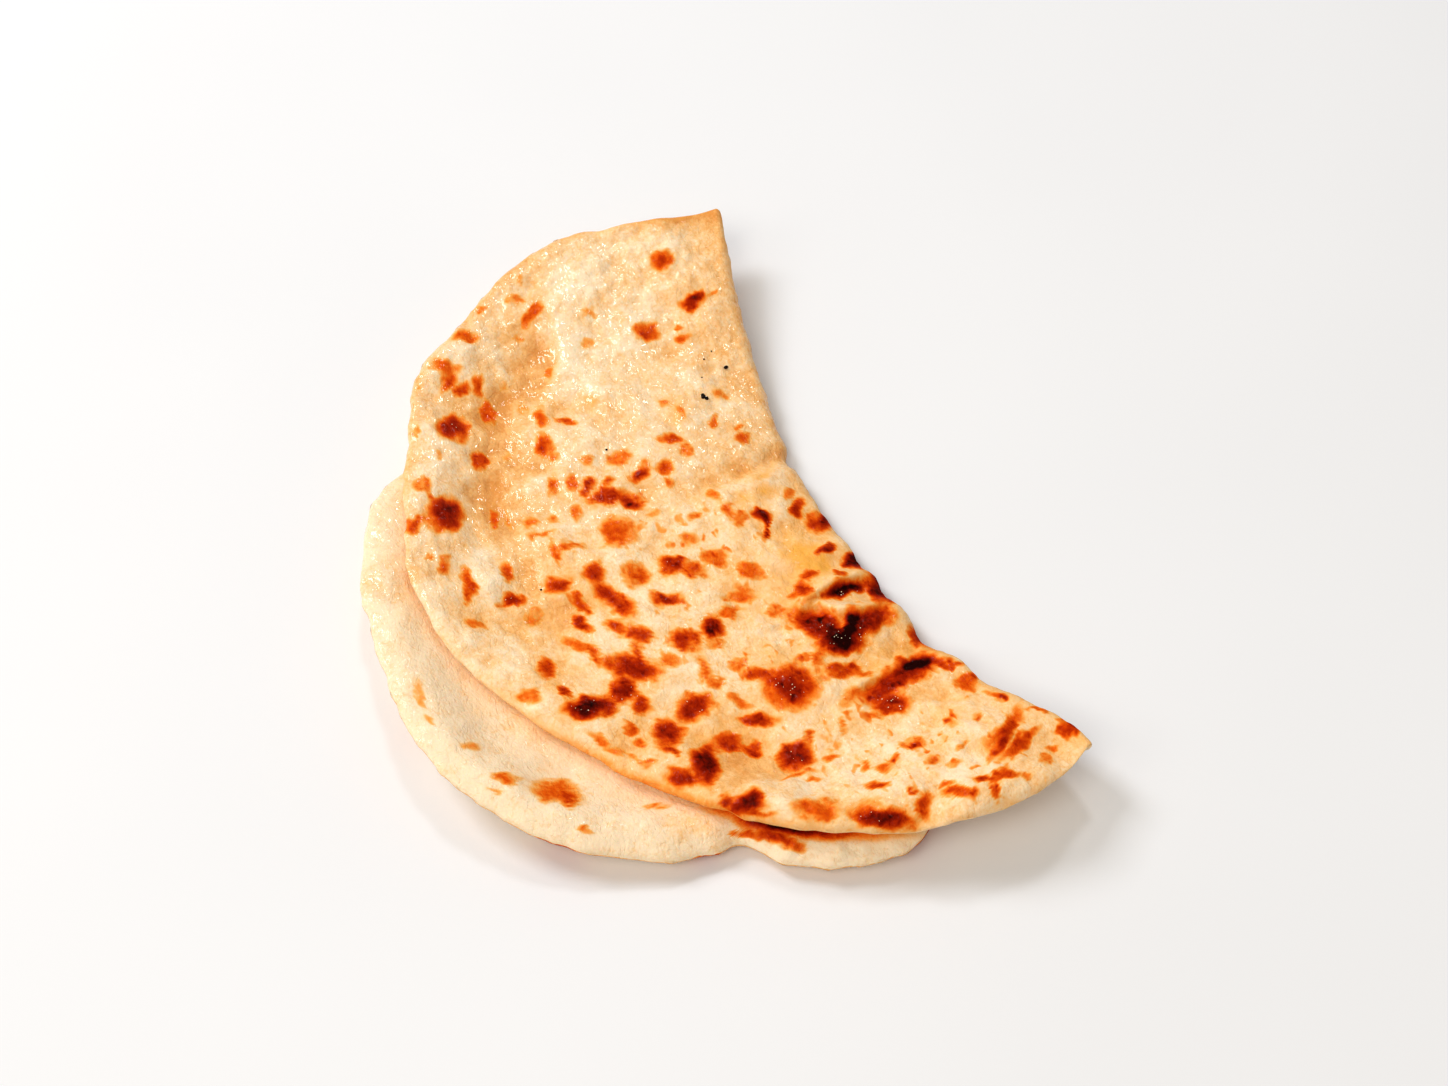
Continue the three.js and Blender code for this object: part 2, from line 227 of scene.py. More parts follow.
NEAR_BURNS = [
    (631, 725, 6, 4, 20, 0.55), (636, 739, 9, 4, 35, 0.55), (668, 733, 14, 12, 0, 0.9),
    (669, 751, 10, 5, 15, 0.75), (706, 765, 14, 17, 10, 1.05), (681, 777, 11, 10, 30, 0.8),
    (650, 762, 8, 4, 15, 0.5), (600, 740, 12, 5, 30, 0.4), (622, 752, 24, 3, 24, 0.3),
    (729, 744, 15, 9, 20, 0.75), (753, 748, 9, 7, 60, 0.7), (756, 721, 17, 8, 5, 0.85),
    (796, 757, 13, 12, 0, 0.95), (809, 738, 9, 4, -50, 0.55), (748, 802, 13, 9, -15, 0.95),
    (729, 798, 6, 6, 0, 0.6), (755, 813, 14, 5, 5, 0.5), (817, 808, 20, 9, 5, 0.5),
    (882, 817, 28, 11, 10, 0.93), (925, 803, 13, 8, 100, 0.6), (958, 792, 15, 6, -5, 0.65),
    (912, 789, 5, 4, -30, 0.5), (876, 785, 11, 4, -10, 0.6), (913, 744, 11, 4, 0, 0.5),
    (932, 758, 9, 5, -15, 0.5), (882, 766, 8, 4, 10, 0.5), (864, 767, 4, 5, 0, 0.45),
    (896, 763, 5, 5, -30, 0.4), (830, 756, 8, 3, -10, 0.5), (799, 775, 17, 3, -18, 0.5),
    (815, 782, 7, 3, -10, 0.4), (844, 725, 8, 3, 90, 0.35), (978, 720, 6, 4, -20, 0.35),
    (950, 721, 6, 5, 0, 0.35), (875, 716, 9, 4, 10, 0.45), (962, 745, 8, 3, -20, 0.4),
    (953, 763, 5, 4, 0, 0.35), (948, 783, 9, 3, -15, 0.5),
]
FOLD_BURNS = [
    (761, 518, 10, 5, 10, 1.1), (766, 526, 4, 8, 0, 0.95), (799, 507, 7, 7, 0, 0.8),
    (785, 494, 6, 5, 0, 0.45),
    (821, 522, 12, 10, 20, 0.8), (824, 520, 5, 5, 0, 1.0), (826, 550, 10, 5, -25, 0.95),
    (856, 561, 12, 9, 20, 1.2), (813, 578, 8, 5, 10, 0.65), (839, 577, 5, 4, 0, 0.8),
    (802, 593, 12, 9, 60, 0.85), (845, 591, 18, 8, -20, 1.15), (880, 592, 14, 10, 60, 1.15),
    (877, 576, 8, 4, 45, 1.0), (866, 579, 9, 5, -20, 0.5), (818, 624, 26, 12, 20, 0.95),
    (864, 622, 28, 11, -20, 0.95), (840, 641, 21, 14, 0, 1.25), (848, 626, 20, 7, -40, 1.2),
    (777, 609, 8, 5, -20, 0.45), (804, 656, 6, 5, 0, 0.45), (915, 638, 11, 8, 40, 0.75),
    (790, 687, 25, 19, 0, 0.78), (791, 690, 13, 10, 0, 0.65), (760, 676, 15, 7, -10, 0.65),
    (820, 660, 8, 8, 60, 0.55), (848, 674, 23, 5, 0, 0.65), (916, 662, 18, 7, -8, 1.2),
    (945, 662, 18, 4, 5, 0.7), (900, 676, 38, 12, -32, 0.85), (857, 694, 20, 6, -22, 0.42),
    (891, 704, 18, 9, 0, 0.87), (966, 683, 10, 6, 5, 0.6), (997, 697, 10, 4, 20, 0.6),
    (1040, 712, 12, 3, 8, 0.6), (1067, 728, 9, 7, 0, 0.75), (1060, 720, 6, 3, 10, 0.45),
    (1002, 741, 23, 6, -50, 0.75), (1021, 744, 23, 6, -42, 0.7), (1006, 731, 24, 9, -48, 0.65),
    (985, 777, 9, 5, 0, 0.65), (1003, 776, 14, 5, -20, 0.65), (997, 790, 9, 4, 70, 0.6),
    (1053, 749, 7, 4, -20, 0.4), (1042, 763, 5, 5, 0, 0.4), (1025, 773, 5, 4, 0, 0.35),
]
UPPER_BURNS = FAR_BURNS + MIDDLE_BURNS + NEAR_BURNS + FOLD_BURNS
RING_BURNS = [  # paler in the middle
    (416, 432, 6, 4, 0, 0.4), (521, 413, 6, 6, 0, 0.3), (685, 451, 7, 6, 0, 0.5),
    (423, 486, 10, 6, 0, 0.5), (529, 696, 8, 7, 0, 0.55),
]
LIP_BURNS = [  # on the lower half, outside the upper one
    (508, 778, 13, 6, 0, 0.5), (555, 792, 22, 11, 12, 0.52), (565, 798, 8, 6, 20, 0.65),
    (654, 808, 15, 3, 0, 0.4), (588, 829, 6, 4, 15, 0.4), (471, 746, 10, 5, 30, 0.3),
    (493, 794, 7, 2, 0, 0.3), (417, 692, 14, 3, 70, 0.25), (430, 720, 10, 3, 45, 0.25),
    (745, 832, 10, 4, 0, 0.6), (776, 839, 24, 6, 14, 0.75),
]
BUTTER = [  # yellow where melted butter soaked in
    (809, 557, 26, 17, 35, 1.3), (765, 473, 16, 6, -15, 0.8), (761, 491, 11, 9, 0, 0.8),
    (745, 497, 14, 7, 0, 0.7), (587, 403, 11, 8, 0, 0.6), (590, 345, 8, 4, 0, 0.6),
    (790, 590, 70, 40, 30, 0.7), (575, 492, 40, 16, 0, 0.45), (678, 412, 16, 20, 0, 0.7),
    (620, 535, 15, 14, 0, 0.3), (810, 668, 80, 24, 5, 0.6), (735, 510, 40, 30, 0, 0.5),
    (955, 712, 44, 12, 12, 0.55), (885, 667, 24, 8, -10, 0.5), (765, 667, 22, 9, 0, 0.4),
    (650, 219, 55, 6, -8, 0.4),
]
TANNED_AND_SHADED = [  # where the dough is darker without being burnt: partly its own tone and partly painted shade in valleys and hollows
    (524, 386, 46, 20, -45, 0.1), (493, 488, 16, 36, 0, 0.1), (535, 565, 26, 36, -20, 0.22),
    (600, 300, 110, 70, -15, 0.2), (645, 390, 95, 60, -20, 0.22), (660, 221, 60, 9, -8, 0.6),
    (507, 328, 40, 26, -40, 0.28), (526, 280, 24, 18, -40, 0.35), (552, 368, 16, 28, 10, 0.15),
]
# Painted shade on the lip under the front of the upper rim
LIP_PAINTED_SHADE = [(690, 827, 44, 12, 10, 0.35)]
PALE = [  # where the crust round the burns and along the fold isn't golden
    (448, 440, 36, 85, 8, 0.8), (535, 715, 34, 16, 35, 0.8), (790, 525, 14, 14, 0, 0.6),
    (770, 763, 20, 10, 0, 0.6), (648, 640, 12, 10, 0, 0.6), (615, 762, 16, 8, 20, 0.7),
    (735, 762, 26, 14, 0, 0.6), (480, 450, 40, 44, 0, 0.5), (655, 545, 40, 25, 0, 0.5),
    (550, 620, 44, 30, 20, 0.45), (465, 435, 30, 30, 0, 0.5),
]
FRECKLED = [  # where the crust is finely freckled
    (705, 535, 60, 30, 0, 1.0), (930, 740, 120, 60, 10, 1.25), (600, 500, 120, 50, 20, 0.5),
    (760, 640, 160, 90, 20, 0.8), (620, 640, 90, 80, 30, 0.5),
]

# Tucks of the upper face by their places in the photo: the dough below a line that runs to the right, or
# above one that runs to the left, stands up, and the other side is drawn in. With each go its rise in
# millimetres and the photo pixels over which the raised side dies away.
TUCKS = [
    ([(882, 572), (864, 576), (822, 595), (795, 614)], 2.4, 12),
    ([(897, 602), (873, 609), (855, 614), (835, 614), (820, 609), (806, 611), (788, 620)], 2.4, 13),
    ([(835, 543), (817, 554)], 1.0, 10),
    ([(955, 661), (929, 656), (912, 658), (900, 668), (870, 683), (842, 697)], 1.6, 14),
    ([(744, 517), (766, 538), (800, 545)], 0.8, 14),
    ([(696, 636), (676, 631), (663, 633)], 0.7, 10),
    ([(697, 636), (719, 637)], 0.7, 10),
    ([(697, 636), (698, 652)], 0.7, 10),
    ([(622, 615), (614, 612), (600, 605)], 0.5, 10),
    ([(407, 422), (429, 426), (444, 438), (474, 454)], 1.2, 14),
    ([(531, 393), (553, 381), (560, 358), (553, 322), (542, 294)], 1.0, 24),
    ([(521, 325), (505, 331), (489, 336)], 0.6, 14),
    ([(486, 464), (486, 502)], 0.8, 18),
    ([(532, 411), (555, 418), (576, 424)], 0.8, 14),
    ([(487, 498), (503, 506), (524, 512)], 0.8, 14),
    ([(541, 594), (540, 570), (537, 549)], 0.7, 20),
    ([(522, 533), (602, 551)], 0.6, 16),
    ([(522, 597), (560, 593), (602, 605)], 0.7, 16),
    ([(824, 716), (852, 707), (994, 700)], 0.4, 20),
    ([(771, 786), (811, 765), (858, 746)], 0.5, 18),
    ([(640, 487), (616, 491), (598, 497)], 0.8, 14),
]
TUCK_FURROW = 0.6  # depth of the drawn-in side, as a share of the raised side's height
FURROW_WIDTH = 0.6  # and its width, as a share of the raised side's
TUCK_END = 14.0  # photo pixels over which a tuck dies away at its ends
TUCK_BLEND = 4.0  # photo pixels to either side of a tuck's line over which its step is spread
CREASE_WIDTH = 4.0  # photo pixels over which the crease of a tuck, browned and darkened with painted shade, dies away
CREASE_HEAT_AND_SHADE = 0.14  # heat of browning and painted shade in the crease, for each millimetre of a tuck's rise
CREST_WIDTH = 5.0  # photo pixels over which the pale crest of a tuck, partly painted highlight, dies away
CREST_PALE_AND_HIGHLIGHT = 0.45  # share of the heat that it takes off, partly paler dough and partly painted highlight, for each millimetre of the tuck's rise

# Smaller swellings of the upper face by their places in the photo, with their rise in millimetres
BUMPS = [
    (645, 420, 26, 14, 15, 0.8), (588, 440, 22, 14, 20, 0.6), (565, 300, 28, 45, 10, 0.7),
    (617, 533, 17, 15, 0, 0.6), (488, 587, 14, 12, 0, 0.8), (446, 516, 18, 17, 0, 0.5),
    (790, 685, 24, 18, 0, 0.6), (683, 639, 18, 10, 10, 0.5), (706, 765, 14, 16, 0, 0.4),
    (845, 632, 28, 14, 0, -0.8), (745, 755, 40, 14, -20, -0.8), (555, 630, 25, 20, 60, -0.8),
    (855, 727, 60, 12, -5, -0.5), (930, 700, 50, 14, -10, 0.5), (430, 480, 16, 22, 20, 0.5),
    (440, 560, 14, 24, -30, 0.5), (640, 610, 26, 12, 30, 0.4), (700, 590, 22, 14, 20, 0.4),
    (577, 280, 28, 22, -20, 0.9), (626, 300, 20, 12, -30, 0.7), (572, 342, 18, 14, 20, 0.7),
    (603, 318, 20, 8, -30, -0.5), (538, 364, 14, 22, 10, -0.9), (700, 340, 20, 30, 10, 0.4),
    (640, 365, 30, 10, -25, -0.4), (515, 252, 10, 14, 40, 0.7), (490, 286, 10, 12, 45, 0.7),
    (455, 332, 12, 12, 45, 0.6), (430, 378, 10, 14, 60, 0.6), (418, 450, 10, 20, 80, 0.7),
    (501, 371, 14, 4, 58, 0.7), (520, 430, 14, 20, 10, 0.6), (546, 436, 18, 16, 0, 0.5),
]

# Charred crumbs lying on the crust: place in the photo and radius in millimetres
CRUMBS = [
    (704, 396.5, 1.0), (706.5, 398, 0.8), (702, 395, 0.7), (725.5, 367.4, 0.7), (737, 328, 0.36),
    (711, 351, 0.3), (705, 359, 0.3), (701.5, 377.6, 0.3), (605, 449, 0.36), (541, 590.5, 0.36),
]

# Fine relief of the crust: size of its bumps and their height
SOFT_BUMPS = (15.0, 1.2)
SMALL_BUMPS = (6.0, 0.62)
WRINKLES = (2.6, 0.42)
LIP_SMOOTHNESS = 0.6  # share of these that the lip has
LUMPS = (8.0, 0.6)  # of the lip, rounded with creases between
LOBE_LUMPS = (4.5, 3.2)  # at the lip's near end
LOBE_START = -85.0
LOBE_BLEND = 15.0
LIP_BLEND = 8.0  # the lip's relief dies away over this width under the upper rim
RUNS = (26.0, 5.5, 0.35)  # wrinkles drawn out across the photo: their length, width and height
UNDER_BUMPS = (7.0, 0.5)
CHAR_ROUGHNESS = (2.6, 0.25)  # on burnt crust
CHAR_RISE = 0.3  # how far a black blister stands up
CHAR_START = 0.55  # heat at which the crust begins to blister
CHAR_BLEND = 0.5

# Ragged edges of the burns: size of the waves and how far they reach, in photo pixels
RAGGED = [(24.0, 5.5), (11.0, 3.6), (5.0, 2.2)]
SPOT_REACH = 1.12  # where a spot's strength has fallen to about a third, in its half lengths and widths
SPOT_FALL = 3.7  # the higher the more suddenly it falls there
SOFT_FALL = 1.4  # the same, of soft patches of colour
HALO = 2.4  # reach of the golden crust round a burn, as a multiple of the burn's
RING_WIDTH = 0.45  # of the paler middle of some burns, in their half lengths and widths
RING_PALE = 0.5  # share of the heat that is missing there
SPOT_UNION = 3.0  # above 1, the higher the less that overlapping burns add up

# Tan, gold, heat and wetness of the crust by where it lies, with painted shade in hollows, creases and under
# the upper rim, and painted light on ridges: strengths, places and half widths
BASE_TAN = 0.3
MOST_TAN = 1.6
TAN_PATCHES = [(19.0, 0.25), (7.0, 0.2)]  # their size, and how much more or less tanned they are
RIM_TAN = 0.4
RIM_TAN_WIDTH = 3.5
PALE_RIM_END = 20.0  # from here to -X the upper rim is pale
PALE_RIM_BLEND = 60.0
FOLD_TAN = 0.35  # along the far half, and less along the near half
NEAR_FOLD_TAN = 0.25
NEAR_FOLD_GOLD = 0.32
FOLD_TAN_WIDTH = 15.0
FAR_HALF_START = 0.0
FAR_HALF_BLEND = 40.0
HALO_TAN = 0.2
HALO_GOLD = 0.44
FRECKLE_GOLD = 0.24
NEAR_WET = 0.35  # wetness of the near half, where the far half's is 1
DRY_REACH = 30.0  # the ends of the fold are dry over this distance
HOLLOW_PAINTED_SHADE = 0.4  # painted shade: tan added for each millimetre of depth of a hollow
RIDGE_PAINTED_LIGHT = 0.12  # painted light: tan taken off for each millimetre of height of a ridge
LIP_PALE = 0.36  # taken off on the lip
LIP_RIM_PAINTED_SHADE = 0.1  # painted shade on the lip under the upper rim
LIP_RIM_SHADE_WIDTH = 7.0
LIP_HOLLOW_PAINTED_SHADE = 0.2  # painted shade for each millimetre below the lip's mean height, and painted light taken off above it
LIP_LINE_HEAT_AND_SHADOW = 1.15  # browning and painted shadow in the gap under a part of the upper rim
LIP_LINE_INSET = 2.4
LIP_LINE_WIDTH = 1.8
LIP_LINE_PLACE = -95.0
LIP_LINE_REACH = 12.0
LIP_GOLD = 0.3  # between the lip's puffed edge and the upper rim
LIP_GOLD_WIDTH = 20.0
LIP_GOLD_PATCHES = (9.0, 0.15)  # their size, and how much more or less golden they are
EDGE_HEAT = 0.15  # at the very edge of the near part of the upper rim
EDGE_HEAT_WIDTH = 1.3
RIM_HEAT = 0.11  # along a part of the upper rim
RIM_HEAT_WIDTH = 5.0
RIM_HEAT_PLACE = -70.0
RIM_HEAT_REACH = 40.0
FOLD_HEAT_BASE = 1.3  # added to the height in the fold, from -1 to 1, for the share of heat there
UNDER_RIM_HEAT = 0.22
UNDER_RIM_WIDTH = 3.0

# Burns of the hidden underside: how many, their half lengths and widths, their heat, and the size and reach
# of the waves of their edges
UNDER_SPOTS = 70
UNDER_SPOT_SIZE = (2.0, 6.5)
UNDER_SPOT_HEAT = (0.3, 0.9)
UNDER_WAVES = (5.0, 1.2)

# Tiny pale beads on burns, bubbles of butter whose pale colour is painted highlight for their glints: across,
# down, half length, half width and how many
GLINT_BEADED = [
    (843, 632, 26, 13, 18), (789, 688, 20, 13, 14), (890, 704, 16, 8, 10), (625, 690, 16, 10, 6),
    (590, 708, 22, 8, 5), (846, 590, 14, 6, 5), (796, 757, 9, 9, 3), (512, 600, 9, 4, 2),
    (452, 425, 10, 9, 3), (695, 707, 12, 8, 3), (880, 817, 22, 6, 3), (671, 565, 10, 6, 2),
]
BEAD_RADIUS = (0.08, 0.2)
BEAD_FLATNESS = 0.8
CRUMB_FLATNESS = 0.7
CRUMB_LIFT = 0.3  # share of its radius by which a crumb's middle stands off the crust
LUMP_UNEVENNESS = (0.75, 1.25)  # of the lengths, widths and heights of crumbs and beads
LUMP_DETAIL = 2  # how often their faces are divided


def linear(red, green, blue):
    """A colour given as display values from 0 to 255."""
    shares = [value / 255 for value in (red, green, blue)]
    return (*[s / 12.92 if s < 0.04045 else ((s + 0.055) / 1.055) ** 2.4 for s in shares], 1.0)


# Colours of the dough by its tan and painted shade, and of burnt crust by its heat
DARKEST_TAN = 1.4
DOUGH = [
    (0.0, linear(253, 230, 197)),
    (0.25, linear(251, 219, 177)),
    (0.5, linear(249, 206, 152)),
    (0.9, linear(242, 183, 113)),
    (1.4, linear(224, 151, 77)),
]
BUTTER_YELLOW = linear(250, 172, 52)
HOTTEST = 1.25
TOAST = [
    (0.10, linear(248, 200, 136)),
    (0.22, linear(247, 166, 78)),
    (0.36, linear(240, 126, 36)),
    (0.50, linear(228, 92, 12)),
    (0.65, linear(200, 60, 6)),
    (0.80, linear(166, 36, 4)),
    (0.95, linear(130, 20, 3)),
    (1.08, linear(78, 10, 4)),
    (1.20, linear(30, 5, 4)),
]

# Noises of the crust, with sizes in metres and the turn of their length from +X
FRECKLE_TURN = math.radians(-95)
WRINKLE_TURN = math.radians(-71)
EDGE_GRAIN = dict(size=0.0022, detail=3.0, roughness=0.6, distortion=0.4)  # feathering of the burns
FRECKLES = dict(size=0.0032, detail=1.5, distortion=0.3, stretch=1.5, turn=FRECKLE_TURN)
GOLD_PATCHES = dict(size=0.007, detail=2.0)
SKIN = dict(size=0.0042, detail=1.0, distortion=1.2, stretch=1.7, turn=WRINKLE_TURN)  # its fine creases
FINE_WRINKLES = dict(size=0.0022, detail=2.0, distortion=0.6, stretch=1.6, turn=WRINKLE_TURN)
PORES = dict(size=0.0008, detail=2.0)
RIPPLES = dict(size=0.002, detail=0.0, distortion=0.8, stretch=1.8, turn=WRINKLE_TURN)  # of the butter
SHINE = dict(size=0.009, detail=2.0)
MOTTLES = [  # with how much more or less tanned they are
    (dict(size=0.0045), 0.95), (dict(size=0.0013), 1.0), (dict(size=0.0007, detail=1.0), 0.5),
]

# Ranges of the crust: the values between which something rises, and what it rises from and to
FEATHER_RANGE = (0.02, 0.4, 0.0, 0.6)  # feathering, by heat
FRECKLE_RANGE = (0.56, 0.74, 0.0, 0.4)  # heat of the freckles, by their noise
PATCH_RANGE = (0.48, 0.75, 0.0, 0.17)  # heat of the golden patches, by their noise
CREASE_RANGE = (0.0, 0.035, 1.0, 0.0)  # creases, by how far the skin's noise is from its middle value
# painted shade in the skin's fine creases
CREASE_PAINTED_SHADE = 0.15
BUTTER_RANGE = (0.1, 0.9, 0.0, 0.85)  # share of yellow, by butter
TOAST_RANGE = (0.02, 0.16)  # share of burnt crust, by heat
COAT_RANGE = (0.35, 0.65, 0.4, 1.0)  # film of butter, by the noise of the shine
BURNT_COAT_RANGE = (0.05, 0.5, 1.0, 0.15)  # the share of it that is left, by heat
ROUGHNESS_RANGE = (0.35, 0.65, 0.4, 0.55)  # by the noise of the shine

# Bumps: strength, and height in metres
CREASE_BUMP = (0.3, 0.0003)
WRINKLE_BUMP = (0.5, 0.0006)
PORE_BUMP = (0.6, 0.0003)
RIPPLE_BUMP = (1.0, 0.0007)
CHAR_BUMP = (0.6, 0.0003)

# Crumbs, pale beads of butter with painted highlight, and the floor: size of their grain in metres, and its
# colours
CHAR_GRAIN = 0.0006
CHAR_TONES = [(0.3, linear(8, 5, 4)), (0.75, linear(34, 18, 11))]
BEAD_GRAIN = 0.004
GLINT_BEAD_TONES = [(0.3, linear(255, 226, 170)), (0.7, linear(250, 242, 222))]
FLOOR_GRAIN = 0.25
FLOOR_TONES = [(0.3, (0.82, 0.85, 0.91, 1)), (0.7, (0.85, 0.88, 0.94, 1))]
FLOOR_REACH = 6.0  # half the floor's length, in metres

# Lights: name, turn from the camera towards the photo's left, elevation, size in metres, watts and colour
LIGHT_DISTANCE = 2.6  # from the bread, in metres
WHITE = (1.0, 1.0, 1.0)
WARM = (1.0, 0.9, 0.76)
LIGHTS = [
    ("window", 122, 44, 0.9, 34.0, WHITE),
    ("side", 62, 35, 0.8, 6.0, WARM),
    ("fill", 28, 54, 1.4, 27.0, WARM),
    ("glint", 182, 53, 0.35, 10.0, WHITE),
]
WORLD_LIGHT = 0.32
WORLD_TINT = (1.0, 0.92, 0.8, 1.0)


def bell(distance, width):
    """A bell-shaped share that is 1 where the distance is 0."""
    return np.exp(-((distance / width) ** 2))


def smooth(share):
    """Eases a share from 0 to 1, and holds it there outside."""
    share = np.clip(share, 0, 1)
    return share * share * (3 - 2 * share)


def noise(place, size, seed):
    """Smooth noise between about -1 and 1, whose bumps are about the given size."""
    turns = np.random.default_rng(SEED + seed).uniform(0, 2 * np.pi, (NOISE_GRID, NOISE_GRID))
    scaled = place / size
    cell = np.floor(scaled).astype(int)
    inside = scaled - cell

    def corner(right, up):
        turn = turns[(cell[..., 0] + right) % NOISE_GRID, (cell[..., 1] + up) % NOISE_GRID]
        return np.cos(turn) * (inside[..., 0] - right) + np.sin(turn) * (inside[..., 1] - up)

    across = smooth(inside[..., 0])
    low = corner(0, 0) * (1 - across) + corner(1, 0) * across
    high = corner(0, 1) * (1 - across) + corner(1, 1) * across
    upward = smooth(inside[..., 1])
    return NOISE_GAIN * (low * (1 - upward) + high * upward)


def along_across(spot, place):
    """Coordinates of places along and across a swelling or spot, in its half lengths and half widths."""
    turn = math.radians(spot.turn)
    dx = place[..., 0] - spot.x
    dy = place[..., 1] - spot.y
    along = (dx * math.cos(turn) + dy * math.sin(turn)) / spot.long
    across = (dy * math.cos(turn) - dx * math.sin(turn)) / spot.wide
    return along, across


def swellings(swells, place):
    """Height of rounded swellings at places."""
    height = np.zeros(place.shape[:-1])
    for swell in swells:
        along, across = along_across(swell, place)
        height += swell.rise * np.exp(-(along**2) - across**2)
    return height


def relief(place):
    """Height of the swellings and pleats of the upper face."""
    height = swellings(SWELLS, place)
    for pleat in PLEATS:
        along, across = along_across(pleat, place)
        height -= pleat.rise * across * np.exp(0.5 - 0.5 * across**2 - along**2)
    return height


def least_distance(place, spots):
    """The distance from places to the nearest of a few single ones."""
    return np.min([np.linalg.norm(place - spot, axis=-1) for spot in spots], axis=0)


def sag(place):
    """The height of the sagged underside above the floor."""
    offset = (place - SAG_CENTRE) / SAG_FLAT
    reach = np.linalg.norm(offset, axis=-1)
    return SAG_RISE * np.maximum(reach - 1, 0) ** SAG_POWER


def fold_edge(share):
    """The bowed outermost line of the fold. Share runs from 0 at -X to 1 at +X."""
    side = 2 * share - 1
    x = FOLD_MIDDLE + side * FOLD_LENGTH / 2
    y = FOLD_BOW * (1 - np.abs(side) ** FOLD_BOW_POWER)
    for pleat in PLEATS:
        y = y + pleat.nip * bell(x - pleat.x, NIP_WIDTH * pleat.wide)
    return np.stack([x, y], axis=-1)


FOLD_ENDS = fold_edge(np.array([0.0, 1.0]))


def fold_out(share):
    """The unit vector in plan that points out of the fold, away from the bread."""
    before = fold_edge(np.maximum(share - DIRECTION_REACH, 0))
    along = fold_edge(np.minimum(share + DIRECTION_REACH, 1)) - before
    out = np.stack([along[..., 1], -along[..., 0]], axis=-1)
    return out / np.linalg.norm(out, axis=-1, keepdims=True)


def fold_distance(place):
    return line_distance(fold_edge(np.linspace(0, 1, LINE_SAMPLES + 1)), place)


def thinning(place):
    """The share of the thickness that is left by the fold and by its two ends."""
    pressed = 1 - FOLD_THIN * bell(fold_distance(place), FOLD_THIN_REACH)
    return pressed * (1 - END_THIN * bell(least_distance(place, FOLD_ENDS), END_REACH))


def fold_line(share):
    """The line that the fold turns about: its edge, set in by the fold's outer radius."""
    radius = (LOWER_DOUGH + LAYER_GAP + UPPER_DOUGH) / 2
    edge = fold_edge(share)
    return edge - fold_out(share) * (radius * thinning(edge))[..., None]


class Rim:
    """A smooth line through the points of a rim, from one end of the fold to the other."""

    def __init__(self, points):
        ends = fold_line(np.array([0.0, 1.0]))
        knots = np.concatenate([ends[:1], points, ends[1:]])
        guides = np.concatenate([knots[:1], knots, knots[-1:]])
        step = np.linspace(0, 1, CURVE_STEPS, endpoint=False)[:, None]
        curves = []
        for before, start, end, after in zip(guides, guides[1:], guides[2:], guides[3:]):
            leave = (end - before) / 2
            arrive = (after - start) / 2
            cubic = 2 * (start - end) + leave + arrive
            square = 3 * (end - start) - 2 * leave - arrive
            curves.append(cubic * step**3 + square * step**2 + leave * step + start)
        line = np.concatenate([*curves, knots[-1:]])
        along = np.gradient(line, axis=0)
        out = np.stack([-along[:, 1], along[:, 0]], axis=-1) / np.linalg.norm(along, axis=1, keepdims=True)
        waves = sum(reach * noise(line, size, RIM_SEED + size) for size, reach in RIM_WAVES)
        waves *= 1 - bell(least_distance(line, ends), RIM_WAVE_START)
        self.line = line + out * waves[:, None]
        lengths = np.linalg.norm(np.diff(self.line, axis=0), axis=1)
        travelled = np.concatenate([[0.0], np.cumsum(lengths)])
        self.share = travelled / travelled[-1]
        self.samples = self.place(np.linspace(0, 1, LINE_SAMPLES + 1))

    def place(self, share):
        return np.stack([np.interp(share, self.share, self.line[:, axis]) for axis in (0, 1)], axis=-1)

    def distance(self, place):
        return line_distance(self.samples, place)


def stretches(line, place):
    """Each straight stretch of a line: its vector, the way from its start to places, and their distance."""
    for start, end in zip(line, line[1:]):
        stretch = end - start
        offset = place - start
        share = np.clip(offset @ stretch / (stretch @ stretch), 0, 1)
        gap = offset - share[..., None] * stretch
        yield stretch, offset, np.hypot(gap[..., 0], gap[..., 1])


def line_distance(line, place):
    """The least distance from places to a line of straight stretches."""
    least = np.full(place.shape[:-1], np.inf)
    for _, _, distance in stretches(line, place):
        least = np.minimum(least, distance)
    return least


def line_side(line, place):
    """Positive on the right of a line's nearest stretch where +Y is down, and negative on its left."""
    least = np.full(place.shape[:-1], np.inf)
    side = np.zeros(place.shape[:-1])
    for stretch, offset, distance in stretches(line, place):
        turn = stretch[0] * offset[..., 1] - stretch[1] * offset[..., 0]
        side = np.where(distance < least, turn, side)
        least = np.minimum(distance, least)
    return side


upper_rim = Rim(np.array(UPPER_RIM, float))
lower_rim = Rim(np.array(LOWER_RIM, float))


def rounding(distance, width):
    """The edge of the dough is round: the share of the full thickness at a distance from the edge."""
    inward = 1 - np.minimum(distance / width, 1)
    return np.sqrt(1 - inward**2)


def puff_share(rim, place):
    """The rim of the dough is puffed, except by the fold and at the far end."""
    inset = rim.distance(place) - PUFF_INSET
    flat = smooth((place[..., 0] - FLAT_RIM_START) / (FLAT_RIM_END - FLAT_RIM_START))
    return bell(inset, PUFF_WIDTH) * (1 - bell(fold_distance(place), PUFF_FADE)) * (1 - flat)


def lower_thickness(place):
    return (LOWER_DOUGH + LOWER_PUFF * puff_share(lower_rim, place)) * thinning(place)


def lower_half(place, share):
    """Middle height, half thickness and rounding of the lower half at places in plan."""
    thickness = lower_thickness(place)
    rounded = rounding(lower_rim.distance(place), LOWER_ROUND)
    return sag(place) + thickness / 2, thickness / 2 * rounded, rounded


